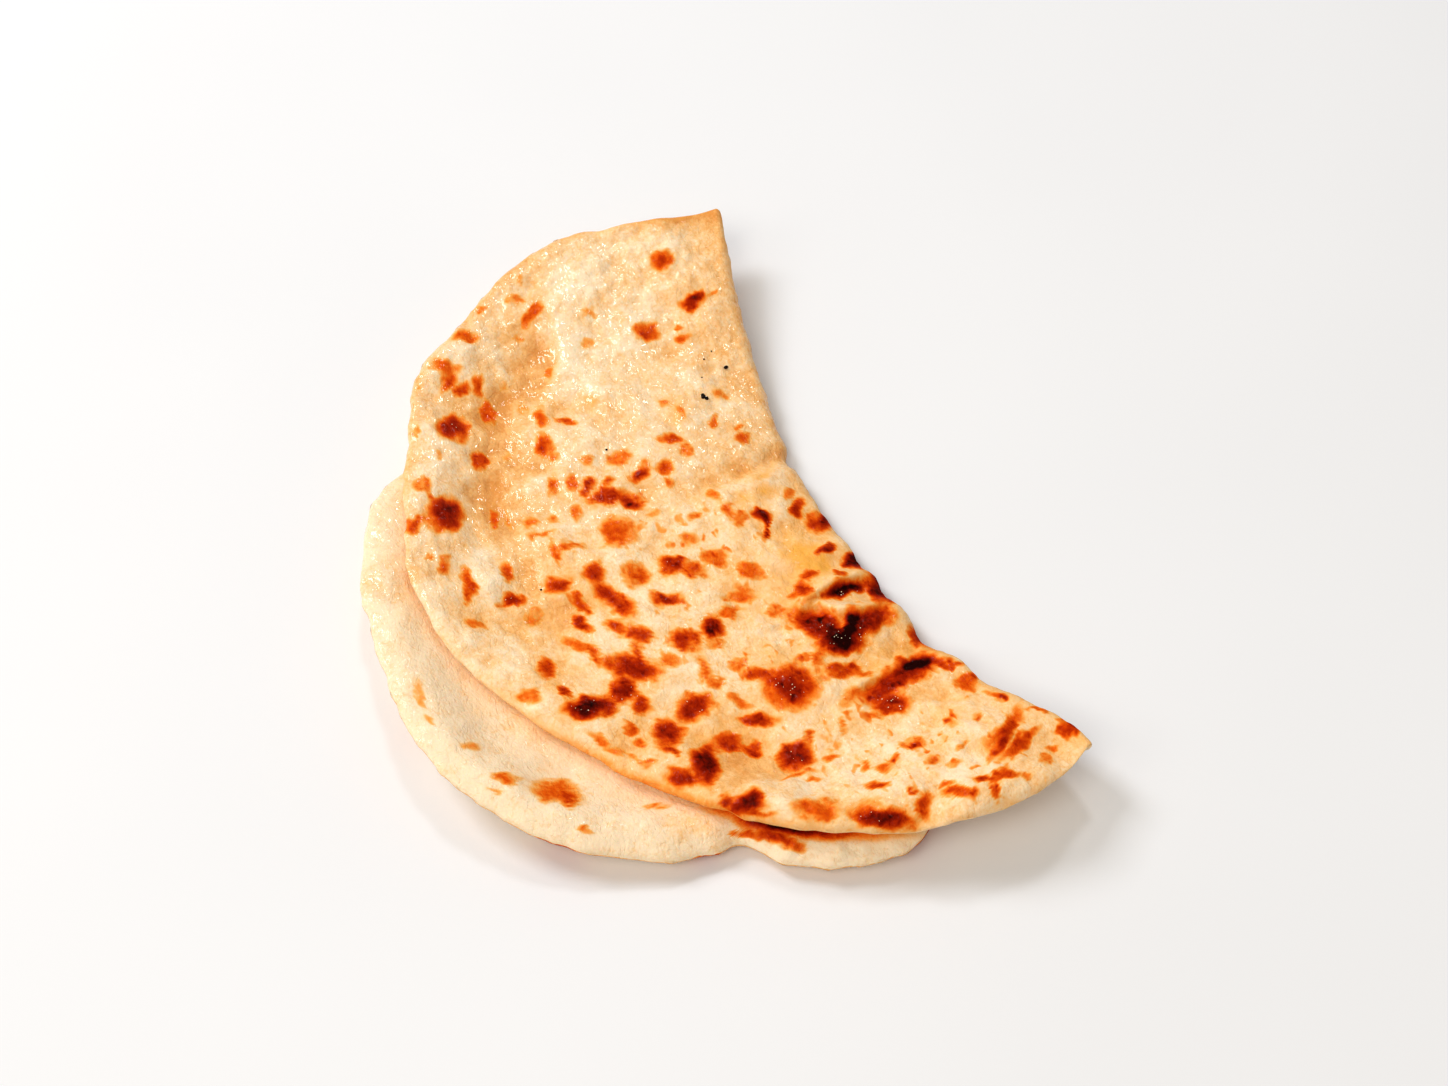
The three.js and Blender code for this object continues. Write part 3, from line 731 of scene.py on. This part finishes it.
def upper_half(place, share):
    """The same of the upper half, which lies on the lower one and stands off it along a part of its rim."""
    distance = upper_rim.distance(place)
    thinned = thinning(place)
    lift = RIM_LIFT * bell(share - LIFT_PLACE, LIFT_REACH) * bell(distance, RIM_LIFT_WIDTH) * thinned
    puff = UPPER_PUFF * puff_share(upper_rim, place)
    thickness = np.maximum((UPPER_DOUGH + puff) * thinned + relief(place), THINNEST)
    rounded = rounding(distance, UPPER_ROUND)
    middle = sag(place) + lower_thickness(place) + LAYER_GAP + lift + thickness / 2
    return middle, thickness / 2 * rounded, rounded


def photo_place(points):
    """Where points of the bread fall in the photo, in its pixels."""
    offset = points - CAMERA_PLACE
    scale = PHOTO_WIDTH * LENS / SENSOR / -(offset @ CAMERA_BACK)
    across = PHOTO_WIDTH / 2 + offset @ CAMERA_RIGHT * scale
    down = PHOTO_HEIGHT / 2 - offset @ CAMERA_UP * scale
    return np.stack([across, down], axis=-1)


# Points of a face, the way out of it, the share of fine relief that it has, and its places in plan
Face = namedtuple("Face", "points outward fade plan")


def layer_face(half_at, rim, reach, side):
    """One face of one half: side 1 is its upper face and -1 its lower one. Stations by steps."""
    share = station_shares()[:, None]
    start = fold_line(share)
    place = start + (rim.place(share) - start) * reach[:, None]
    middle, half, rounded = half_at(place, share)
    points = np.concatenate([place, (middle + side * half)[..., None]], axis=-1)
    outward = np.broadcast_to([0.0, 0.0, side], points.shape)
    return Face(points, outward, rounded, place)


def fold_face(steps, side):
    """The fold's outer face, from under to top, with side 1, or its inner face with side -1."""
    share = station_shares()[:, None]
    turning = fold_line(share)
    low, low_half, rounded = lower_half(turning, share)
    top, top_half, _ = upper_half(turning, share)
    step = np.arange(1, steps) / steps
    angle = np.pi * (step - 0.5)
    out = fold_out(share)
    outward = np.concatenate([
        out * np.cos(angle)[:, None],
        np.broadcast_to(np.sin(angle)[:, None], (*out.shape[:1], steps - 1, 1)),
    ], axis=-1)
    turn_radius = (top - low) / 2
    half = low_half + (top_half - low_half) * step
    radius = turn_radius + side * half
    centre = np.concatenate([turning, ((low + top) / 2)[..., None]], axis=-1)
    points = centre + outward * radius[..., None]
    unrolled = turning + out * ((np.pi / 2 - angle) * radius)[..., None]
    return Face(points, outward, np.broadcast_to(rounded, half.shape), unrolled)


def crowded(steps):
    """Shares from 0 to 1 that lie closer together at both ends."""
    step = np.linspace(0, 1, steps + 1)
    return step - END_CROWDING * np.sin(2 * np.pi * step) / (2 * np.pi)


def station_shares():
    return crowded(STATIONS)


def reaches(steps, power):
    return 1 - (1 - crowded(steps)) ** power


def spot_field(spots, place, ring=0.0, grow=1.0, fall=SPOT_FALL):
    """How strongly listed spots act at places. A ring takes that share from the middle."""
    total = np.zeros(place.shape[:-1])
    for spot in [Spot(*values) for values in spots]:
        reach = np.hypot(*along_across(spot, place)) / grow
        share = np.exp(-((reach / SPOT_REACH) ** fall)) - ring * bell(reach, RING_WIDTH)
        total += np.maximum(spot.strength * share, 0) ** SPOT_UNION
    return total ** (1 / SPOT_UNION)


def ragged(place):
    """Photo places shifted by waves of several sizes, which makes the edges of spots ragged."""
    shifted = place.copy()
    for index, (size, reach) in enumerate(RAGGED):
        for axis in (0, 1):
            shifted[..., axis] += reach * noise(place, size, 2 * index + axis)
    return shifted


def under_heat(plan):
    """Burns of the hidden underside, strewn at random."""
    rng = np.random.default_rng(SEED)
    low, high = plan.reshape(-1, 2).min(axis=0), plan.reshape(-1, 2).max(axis=0)
    spots = []
    for _ in range(UNDER_SPOTS):
        place = rng.uniform(low, high)
        half_sizes = rng.uniform(*UNDER_SPOT_SIZE, 2)
        spots.append((*place, *half_sizes, rng.uniform(0, 180), rng.uniform(*UNDER_SPOT_HEAT)))
    size, reach = UNDER_WAVES
    waves = [noise(plan, size, UNDER_WAVE_SEED + axis) for axis in (0, 1)]
    return spot_field(spots, plan + reach * np.stack(waves, axis=-1))


def bread_faces():
    """The faces of the closed sheet of dough, in order round its section."""
    top_reach = reaches(TOP_STEPS, TOP_POWER)
    lip_reach = reaches(LIP_STEPS, LIP_POWER)
    under_reach = reaches(UNDER_STEPS, LIP_POWER)
    inner_reach = reaches(INNER_STEPS, LIP_POWER)
    inner_fold = fold_face(INNER_FOLD_STEPS, -1)
    return {
        "under": layer_face(lower_half, lower_rim, under_reach[::-1], -1),
        "fold": fold_face(FOLD_STEPS, 1),
        "top": layer_face(upper_half, upper_rim, top_reach, 1),
        "inner": layer_face(upper_half, upper_rim, inner_reach[-2::-1], -1),
        "inner_fold": Face(*[values[:, ::-1] for values in inner_fold]),
        "lip": layer_face(lower_half, lower_rim, lip_reach[:-1], 1),
    }


SHOWN_FACES = ("top", "fold")  # that the photo shows of the upper half


def crust_heat(name, points, plan):
    """How far each point of a face is baked: 0 is pale dough and 1 is black. Under the upper rim the lip also
    gets a painted shadow.
    """
    place = ragged(photo_place(points))
    if name in SHOWN_FACES:
        heat = np.maximum(spot_field(UPPER_BURNS, place), spot_field(RING_BURNS, place, ring=RING_PALE))
        if name == "fold":
            return heat * smooth(FOLD_HEAT_BASE + fold_height(points))
        return heat + rim_heat(plan)
    if name == "lip":
        # A browned line with painted shadow in the gap under the upper rim
        along = bell(plan[..., 0] - LIP_LINE_PLACE, LIP_LINE_REACH)
        line = LIP_LINE_HEAT_AND_SHADOW * along * bell(outside(plan) + LIP_LINE_INSET, LIP_LINE_WIDTH)
        return np.maximum(spot_field(LIP_BURNS, place), line)
    if name == "inner":
        return rim_heat(plan)
    if name == "under":
        return under_heat(plan) + UNDER_RIM_HEAT * bell(lower_rim.distance(plan), UNDER_RIM_WIDTH)
    return np.zeros(plan.shape[:-1])


def rim_heat(plan):
    """Toasting along the near part of the upper rim, strongest at its very edge."""
    distance = upper_rim.distance(plan)
    along = bell(plan[..., 0] - RIM_HEAT_PLACE, RIM_HEAT_REACH)
    return along * (RIM_HEAT * bell(distance, RIM_HEAT_WIDTH) + EDGE_HEAT * bell(distance, EDGE_HEAT_WIDTH))


def fold_height(points):
    """Height within the fold, from -1 at its foot to 1 at its top, station by station."""
    low = points[..., 2].min(axis=1, keepdims=True)
    high = points[..., 2].max(axis=1, keepdims=True)
    return 2 * (points[..., 2] - low) / np.maximum(high - low, 1e-6) - 1


def photo_relief(place):
    """Height of the tucks and smaller swellings at places in the photo, and their creases, browned with
    painted shade, and their crests, paled with painted highlight.
    """
    height = np.zeros(place.shape[:-1])
    crease = np.zeros(place.shape[:-1])
    crest = np.zeros(place.shape[:-1])
    for line, rise, width in TUCKS:
        line = np.array(line, float)
        distance = line_distance(line, place)
        right = smooth(0.5 + np.sign(line_side(line, place)) * distance / (2 * TUCK_BLEND))
        strength = rise * (1 - bell(least_distance(place, line[[0, -1]]), TUCK_END))
        raised = np.exp(-distance / width)
        drawn_in = -TUCK_FURROW * np.exp(-distance / (FURROW_WIDTH * width))
        height += strength * (right * raised + (1 - right) * drawn_in)
        crease += strength * (1 - right) * np.exp(-distance / CREASE_WIDTH)
        crest += strength * right * np.exp(-distance / CREST_WIDTH)
    height += swellings([Swell(*bump) for bump in BUMPS], place)
    return height, np.maximum(crease, 0), np.clip(CREST_PALE_AND_HIGHLIGHT * crest, 0, 1)


def outside(plan):
    """Distance outside the upper rim, negative inside it."""
    return np.sign(line_side(upper_rim.samples, plan)) * upper_rim.distance(plan)


def lobe_share(plan):
    """1 on the lobe at the lip's near end, and 0 past it."""
    return smooth((LOBE_START - plan[..., 0]) / LOBE_BLEND)


def uncovered(plan):
    """1 on the lip outside the upper rim, and 0 well inside it."""
    return smooth(0.5 + outside(plan) / LIP_BLEND)


def fine_relief(name, face, heat, tucked):
    """Height of the tucks, fine bumps, wrinkles and char of a face."""
    height = np.zeros(heat.shape)
    if name in ("inner", "inner_fold"):
        return height
    if name == "under":
        size, rise = UNDER_BUMPS
        return -rise * np.maximum(noise(face.plan, size, UNDER_BUMP_SEED), 0) * face.fade
    for index, (size, rise) in enumerate((SOFT_BUMPS, SMALL_BUMPS, WRINKLES)):
        height += rise * noise(face.plan, size, BUMP_SEED + index)
    if name == "lip":
        height *= LIP_SMOOTHNESS
        lobe = lobe_share(face.plan)
        for (size, rise), share in ((LUMPS, 1 - lobe), (LOBE_LUMPS, lobe)):
            height += share * rise * np.abs(noise(face.plan, size, LUMP_SEED))
        height *= uncovered(face.plan)
    if name == "top":
        height += tucked
        long, wide, rise = RUNS
        along, across = face.plan @ CAMERA_RIGHT[:2], face.plan @ [-CAMERA_RIGHT[1], CAMERA_RIGHT[0]]
        height += rise * noise(np.stack([along / long, across / wide], axis=-1), 1.0, RUN_SEED)
    size, rise = CHAR_ROUGHNESS
    char = smooth((heat - CHAR_START) / CHAR_BLEND)
    height += char * (CHAR_RISE + rise * noise(face.plan, size, CHAR_SEED))
    return height * face.fade * thinning(face.plan)


def far_share(plan):
    """0 on the near half of the bread and 1 on the far half."""
    return smooth((plan[..., 0] - FAR_HALF_START) / FAR_HALF_BLEND)


def dough_tan_and_shade(name, face, fine, photo, halo):
    """How tanned the dough of a face is, where it isn't burnt, with painted shade in hollows, valleys and
    under the upper rim, and painted light on ridges and lumps.
    """
    tan_and_shade = BASE_TAN
    for index, (size, more) in enumerate(TAN_PATCHES):
        tan_and_shade = tan_and_shade + more * noise(face.plan, size, TAN_SEED + index)
    if name == "lip":
        # Painted shade on the lip under the upper rim, and a painted shade patch under its front
        under_rim = bell(upper_rim.distance(face.plan), LIP_RIM_SHADE_WIDTH) * (1 - lobe_share(face.plan))
        tan_and_shade += LIP_RIM_PAINTED_SHADE * under_rim - LIP_PALE + spot_field(LIP_PAINTED_SHADE, photo, fall=SOFT_FALL)
        # Painted shade between the lip's lumps and painted light on their tops
        tan_and_shade -= LIP_HOLLOW_PAINTED_SHADE * (fine - fine.mean())
    if name in SHOWN_FACES:
        rim_tan = RIM_TAN * smooth((face.plan[..., 0] - PALE_RIM_END) / PALE_RIM_BLEND)
        tan_and_shade += rim_tan * bell(upper_rim.distance(face.plan), RIM_TAN_WIDTH)
        fold_tan = NEAR_FOLD_TAN + (FOLD_TAN - NEAR_FOLD_TAN) * far_share(face.plan)
        tan_and_shade += fold_tan * bell(fold_distance(face.plan), FOLD_TAN_WIDTH)
        # Darker dough and painted shade in valleys, and golden crust round the burns
        tan_and_shade += spot_field(TANNED_AND_SHADED, photo, fall=SOFT_FALL) + HALO_TAN * halo
        # Painted shade in hollows and painted light on raised ridges
        height = relief(face.plan) + fine
        tan_and_shade -= HOLLOW_PAINTED_SHADE * np.minimum(height, 0) + RIDGE_PAINTED_LIGHT * np.maximum(height, 0)
    return np.clip(tan_and_shade, 0, MOST_TAN)


def dough_gold(name, face, photo, halo, freckles):
    """How yellow or golden the dough of a face is."""
    if name == "lip":
        size, more = LIP_GOLD_PATCHES
        golden = LIP_GOLD + more * noise(face.plan, size, LIP_GOLD_SEED)
        return golden * bell(upper_rim.distance(face.plan), LIP_GOLD_WIDTH) * (1 - lobe_share(face.plan))
    if name not in SHOWN_FACES:
        return np.zeros(halo.shape)
    near_fold = bell(fold_distance(face.plan), FOLD_TAN_WIDTH) * (1 - far_share(face.plan))
    golden = np.maximum(HALO_GOLD * halo, FRECKLE_GOLD * freckles)
    golden = np.maximum(golden, NEAR_FOLD_GOLD * near_fold)
    golden *= 1 - spot_field(PALE, photo, fall=SOFT_FALL)
    return np.maximum(spot_field(BUTTER, photo, fall=SOFT_FALL), golden)


def wetness(plan):
    """How much butter lies on the crust: most on the far half, and none at the ends of the fold."""
    spread = NEAR_WET + (1 - NEAR_WET) * far_share(plan)
    return spread * (1 - bell(least_distance(plan, FOLD_ENDS), DRY_REACH))


def face_values(name, face):
    """Points of a face with its fine relief, and the values that its material reads. Stations by steps."""
    shown = 1.0 if name in SHOWN_FACES else 0.0
    tucked, crease, crest = photo_relief(photo_place(face.points))
    heat = crust_heat(name, face.points, face.plan)
    # Tucks brown and darken their creases with painted shade, and pale their crests with painted highlight
    heat = heat * (1 - shown * crest) + shown * CREASE_HEAT_AND_SHADE * crease
    fine = fine_relief(name, face, heat, tucked)
    points = face.points + face.outward * fine[..., None]
    photo = ragged(photo_place(points))
    halo = shown * spot_field(UPPER_BURNS, photo, grow=HALO, fall=SOFT_FALL)
    freckles = shown * spot_field(FRECKLED, photo, fall=SOFT_FALL)
    return {
        "points": points,
        "baked": heat,
        "tan_and_shade": dough_tan_and_shade(name, face, fine, photo, halo),
        "butter": dough_gold(name, face, photo, halo, freckles),
        "wet": wetness(face.plan),
        "freckles": freckles,
        "upper": np.full(heat.shape, shown),
    }


def bread_values():
    """Points of the whole sheet without its fine relief, and the values of its faces side by side."""
    faces = bread_faces()
    plain = np.concatenate([face.points for face in faces.values()], axis=1)
    columns = [face_values(name, face) for name, face in faces.items()]
    values = {key: np.concatenate([column[key] for column in columns], axis=1) for key in columns[0]}
    return plain, values


def sheet_mesh(name, values, shift):
    """A closed mesh of the sheet. Its section is a loop, and its two ends close on themselves."""
    stations, steps = values["baked"].shape
    index = np.arange(stations * steps).reshape(stations, steps)
    after = np.roll(index, -1, axis=1)
    quads = np.stack([index[:-1], index[1:], after[1:], after[:-1]], axis=-1).reshape(-1, 4)
    points = (values["points"].reshape(-1, 3) + shift) * MM
    mesh = bpy.data.meshes.new(name)
    mesh.from_pydata(points.tolist(), [], quads.tolist())
    for key, field in values.items():
        if key == "points":
            continue
        attribute = mesh.attributes.new(key, "FLOAT", "POINT")
        attribute.data.foreach_set("value", field.ravel().astype(np.float32))
    work = bmesh.new()
    work.from_mesh(mesh)
    bmesh.ops.remove_doubles(work, verts=work.verts, dist=WELD * MM)
    bmesh.ops.dissolve_degenerate(work, edges=work.edges, dist=WELD * MM)
    bmesh.ops.recalc_face_normals(work, faces=work.faces)
    work.to_mesh(mesh)
    work.free()
    mesh.shade_smooth()
    return mesh


def add_piece(name, mesh, material):
    piece = bpy.data.objects.new(name, mesh)
    bpy.context.scene.collection.objects.link(piece)
    mesh.materials.append(material)
    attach(piece, "root")
    return piece


class Shader:
    """A material's node tree, with short ways to add and link nodes."""

    def __init__(self, name):
        self.material = bpy.data.materials.new(name)
        self.material.use_nodes = True
        self.tree = self.material.node_tree
        self.surface = self.tree.nodes["Principled BSDF"]

    def feed(self, socket, value):
        if isinstance(value, bpy.types.NodeSocket):
            self.tree.links.new(value, socket)
        else:
            socket.default_value = value

    def set(self, **values):
        for name, value in values.items():
            self.feed(self.surface.inputs[name.replace("_", " ")], value)

    def attribute(self, name):
        node = self.tree.nodes.new("ShaderNodeAttribute")
        node.attribute_name = name
        return node.outputs["Fac"]

    def place(self, stretch=1.0, turn=0.0):
        """Places on the object, drawn out along a line that is turned from +X by so much."""
        node = self.tree.nodes.new("ShaderNodeMapping")
        self.feed(node.inputs["Vector"], self.tree.nodes.new("ShaderNodeTexCoord").outputs["Object"])
        self.feed(node.inputs["Rotation"], (0.0, 0.0, -turn))
        self.feed(node.inputs["Scale"], (1 / stretch, 1.0, 1.0))
        return node.outputs["Vector"]

    def noise(self, size, detail=3.0, roughness=0.55, distortion=0.0, stretch=1.0, turn=0.0):
        node = self.tree.nodes.new("ShaderNodeTexNoise")
        self.feed(node.inputs["Vector"], self.place(stretch, turn))
        for name, value in (("Scale", 1 / size), ("Detail", detail), ("Roughness", roughness)):
            self.feed(node.inputs[name], value)
        self.feed(node.inputs["Distortion"], distortion)
        return node.outputs["Fac"]

    def math(self, operation, first, second=0.0):
        node = self.tree.nodes.new("ShaderNodeMath")
        node.operation = operation
        self.feed(node.inputs[0], first)
        self.feed(node.inputs[1], second)
        return node.outputs[0]

    def total(self, first, *others):
        for other in others:
            first = self.math("ADD", first, other)
        return first

    def swing(self, noise, reach=1.0):
        """A noise moved to either side of 0, and made so many times stronger."""
        return self.math("MULTIPLY", self.math("SUBTRACT", noise, 0.5), reach)

    def ranged(self, value, start, end, low=0.0, high=1.0):
        node = self.tree.nodes.new("ShaderNodeMapRange")
        node.interpolation_type = "SMOOTHSTEP"
        for socket, number in zip(node.inputs, (value, start, end, low, high)):
            self.feed(socket, number)
        return node.outputs[0]

    def mix(self, share, first, second, blend="MIX"):
        node = self.tree.nodes.new("ShaderNodeMix")
        node.data_type = "RGBA"
        node.blend_type = blend
        for number, value in ((0, share), (6, first), (7, second)):
            self.feed(node.inputs[number], value)
        return node.outputs[2]

    def ramp(self, value, stops, top=1.0):
        """Colours by a value that runs from 0 to a top."""
        node = self.tree.nodes.new("ShaderNodeValToRGB")
        elements = node.color_ramp.elements
        while len(elements) < len(stops):
            elements.new(1.0)
        for element, (position, colour) in zip(elements, stops):
            element.position = position / top
            element.color = colour
        self.feed(node.inputs["Fac"], self.math("DIVIDE", value, top))
        return node.outputs["Color"]

    def bump(self, height, strength, distance, normal=None):
        node = self.tree.nodes.new("ShaderNodeBump")
        self.feed(node.inputs["Strength"], strength)
        self.feed(node.inputs["Distance"], distance)
        self.feed(node.inputs["Height"], height)
        if normal is not None:
            self.feed(node.inputs["Normal"], normal)
        return node.outputs["Normal"]


def baked_crust(shader):
    """How far the crust is burnt, with feathered edges and freckles."""
    heat = shader.attribute("baked")
    feather = shader.swing(shader.noise(**EDGE_GRAIN), shader.ranged(heat, *FEATHER_RANGE))
    specks = shader.ranged(shader.noise(**FRECKLES), *FRECKLE_RANGE)
    patches = shader.ranged(shader.noise(**GOLD_PATCHES), *PATCH_RANGE)
    freckles = shader.math("MULTIPLY", shader.total(specks, patches), shader.attribute("freckles"))
    return shader.total(heat, feather, freckles)


def dough_colour(shader, creases):
    """Cream to tan dough, mottled, with the painted shade and light that its tan carries and painted shade in
    its fine creases, and yellow where butter soaked in.
    """
    mottles = [shader.swing(shader.noise(**mottle), reach) for mottle, reach in MOTTLES]
    tan_and_shade = shader.total(shader.attribute("tan_and_shade"), *mottles, shader.math("MULTIPLY", creases, CREASE_PAINTED_SHADE))
    yellow = shader.ranged(shader.attribute("butter"), *BUTTER_RANGE)
    return shader.mix(yellow, shader.ramp(tan_and_shade, DOUGH, DARKEST_TAN), BUTTER_YELLOW)


def crust_material():
    """Baked dough: cream to tan with painted shade and light, freckled, burnt by the heat of each place, and
    glossy with butter.
    """
    shader = Shader("naan_crust")
    creases = shader.ranged(shader.math("ABSOLUTE", shader.swing(shader.noise(**SKIN))), *CREASE_RANGE)
    baked = baked_crust(shader)
    toast = shader.ramp(baked, TOAST, HOTTEST)
    colour = shader.mix(shader.ranged(baked, *TOAST_RANGE), dough_colour(shader, creases), toast, "DARKEN")
    creased = shader.bump(shader.math("MULTIPLY", creases, -1.0), *CREASE_BUMP)
    wrinkled = shader.bump(shader.noise(**FINE_WRINKLES), *WRINKLE_BUMP, creased)
    normal = shader.bump(shader.noise(**PORES), *PORE_BUMP, wrinkled)
    film = shader.bump(shader.noise(**RIPPLES), *RIPPLE_BUMP)
    shine = shader.noise(**SHINE)
    coat = shader.math("MULTIPLY", shader.ranged(shine, *COAT_RANGE), shader.attribute("wet"))
    coat = shader.math("MULTIPLY", coat, shader.ranged(shader.attribute("baked"), *BURNT_COAT_RANGE))
    shader.set(Base_Color=colour, Normal=normal, Roughness=shader.ranged(shine, *ROUGHNESS_RANGE))
    shader.set(Specular_IOR_Level=0.0, Coat_Weight=coat, Coat_Normal=film, Coat_Roughness=0.1)
    shader.set(Subsurface_Weight=0.15, Subsurface_Radius=(1.0, 0.5, 0.25), Subsurface_Scale=0.003)
    return shader.material


def char_material():
    """Black, dull char with a brown grain."""
    shader = Shader("char")
    grain = shader.noise(CHAR_GRAIN)
    shader.set(Base_Color=shader.ramp(grain, CHAR_TONES), Normal=shader.bump(grain, *CHAR_BUMP))
    shader.set(Roughness=0.8, Specular_IOR_Level=0.1)
    return shader.material


def glint_bead_material():
    """Tiny glossy bubbles of butter on the burnt crust, pale as painted highlight for their glints."""
    shader = Shader("glint_beads")
    shader.set(Base_Color=shader.ramp(shader.noise(BEAD_GRAIN, detail=1.0), GLINT_BEAD_TONES))
    shader.set(Roughness=0.12, Coat_Weight=0.5)
    return shader.material


def lump_mesh(name, places, radii, flatness):
    """One mesh of many small uneven lumps, each sitting on the crust."""
    rng = np.random.default_rng(SEED + LUMP_SHAPE_SEED)
    work = bmesh.new()
    for place, radius in zip(places, radii):
        size = radius * rng.uniform(*LUMP_UNEVENNESS, 3) * (1, 1, flatness)
        turn = Matrix.Rotation(rng.uniform(0, 2 * np.pi), 4, "Z")
        matrix = Matrix.Translation(Vector(place * MM)) @ turn @ Matrix.Diagonal((*(size * MM), 1))
        bmesh.ops.create_icosphere(work, subdivisions=LUMP_DETAIL, radius=1.0, matrix=matrix)
    mesh = bpy.data.meshes.new(name)
    work.to_mesh(mesh)
    work.free()
    mesh.shade_smooth()
    return mesh


def upper_points(values):
    """Points of the upper half's outer faces, and their places in the photo."""
    points = values["points"][values["upper"] > 0]
    return points, photo_place(points)


def add_crumbs(values, shift):
    points, photo = upper_points(values)
    places = []
    for across, down, radius in CRUMBS:
        nearest = np.argmin(np.hypot(photo[:, 0] - across, photo[:, 1] - down))
        places.append(points[nearest] + shift + (0, 0, CRUMB_LIFT * radius))
    radii = [radius for _, _, radius in CRUMBS]
    mesh = lump_mesh("charred_crumbs", places, radii, CRUMB_FLATNESS)
    add_piece("charred_crumbs", mesh, char_material())


def add_glint_beads(values, shift):
    rng = np.random.default_rng(SEED + BEAD_SEED)
    points, photo = upper_points(values)
    places = []
    for across, down, long, wide, count in GLINT_BEADED:
        inside = np.hypot((photo[:, 0] - across) / long, (photo[:, 1] - down) / wide) < 1
        places.extend(points[inside][rng.choice(inside.sum(), count, replace=False)] + shift)
    radii = rng.uniform(*BEAD_RADIUS, len(places))
    add_piece("glint_beads", lump_mesh("glint_beads", places, radii, BEAD_FLATNESS), glint_bead_material())


def add_floor():
    shader = Shader("pale_floor")
    tone = shader.noise(FLOOR_GRAIN, detail=2.0)
    shader.set(Base_Color=shader.ramp(tone, FLOOR_TONES), Roughness=0.7)
    mesh = bpy.data.meshes.new("floor")
    corners = [(x * FLOOR_REACH, y * FLOOR_REACH, 0) for x, y in ((-1, -1), (1, -1), (1, 1), (-1, 1))]
    mesh.from_pydata(corners, [], [(0, 1, 2, 3)])
    mesh.materials.append(shader.material)
    floor = bpy.data.objects.new("floor", mesh)
    bpy.context.scene.collection.objects.link(floor)


def add_camera(shift):
    data = bpy.data.cameras.new("camera")
    data.lens = LENS
    data.sensor_width = SENSOR
    camera = bpy.data.objects.new("camera", data)
    camera.location = (CAMERA_PLACE + shift) * MM
    camera.rotation_euler = Vector(-CAMERA_BACK).to_track_quat("-Z", "Y").to_euler()
    bpy.context.scene.collection.objects.link(camera)
    bpy.context.scene.camera = camera


def add_light(name, azimuth, elevation, size, power, colour):
    """A square soft light that faces the bread. Azimuth is measured as the camera's is."""
    back = Vector((
        math.sin(azimuth) * math.cos(elevation),
        -math.cos(azimuth) * math.cos(elevation),
        math.sin(elevation),
    ))
    data = bpy.data.lights.new(name, "AREA")
    data.size = size
    data.energy = power
    data.color = colour
    light = bpy.data.objects.new(name, data)
    light.location = back * LIGHT_DISTANCE
    light.rotation_euler = (-back).to_track_quat("-Z", "Y").to_euler()
    bpy.context.scene.collection.objects.link(light)


def add_lights():
    for name, turn, elevation, size, power, colour in LIGHTS:
        azimuth = CAMERA_AZIMUTH - math.radians(turn)
        add_light(name, azimuth, math.radians(elevation), size, power, colour)
    world = bpy.data.worlds.new("studio")
    world.use_nodes = True
    background = world.node_tree.nodes["Background"]
    background.inputs["Color"].default_value = WORLD_TINT
    background.inputs["Strength"].default_value = WORLD_LIGHT
    bpy.context.scene.world = world
    bpy.context.scene.view_settings.view_transform = "Standard"


def main():
    plain, values = bread_values()
    low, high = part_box("naan")
    middle = (plain.reshape(-1, 3).min(axis=0) + plain.reshape(-1, 3).max(axis=0)) / 2
    shift = np.array((low + high) / 2) / MM - middle
    shift[2] = 0.0
    bread = add_piece("naan_bread", sheet_mesh("naan_bread", values, shift), crust_material())
    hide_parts("naan")
    add_crumbs(values, shift)
    add_glint_beads(values, shift)
    add_floor()
    add_camera(shift)
    add_lights()


main()
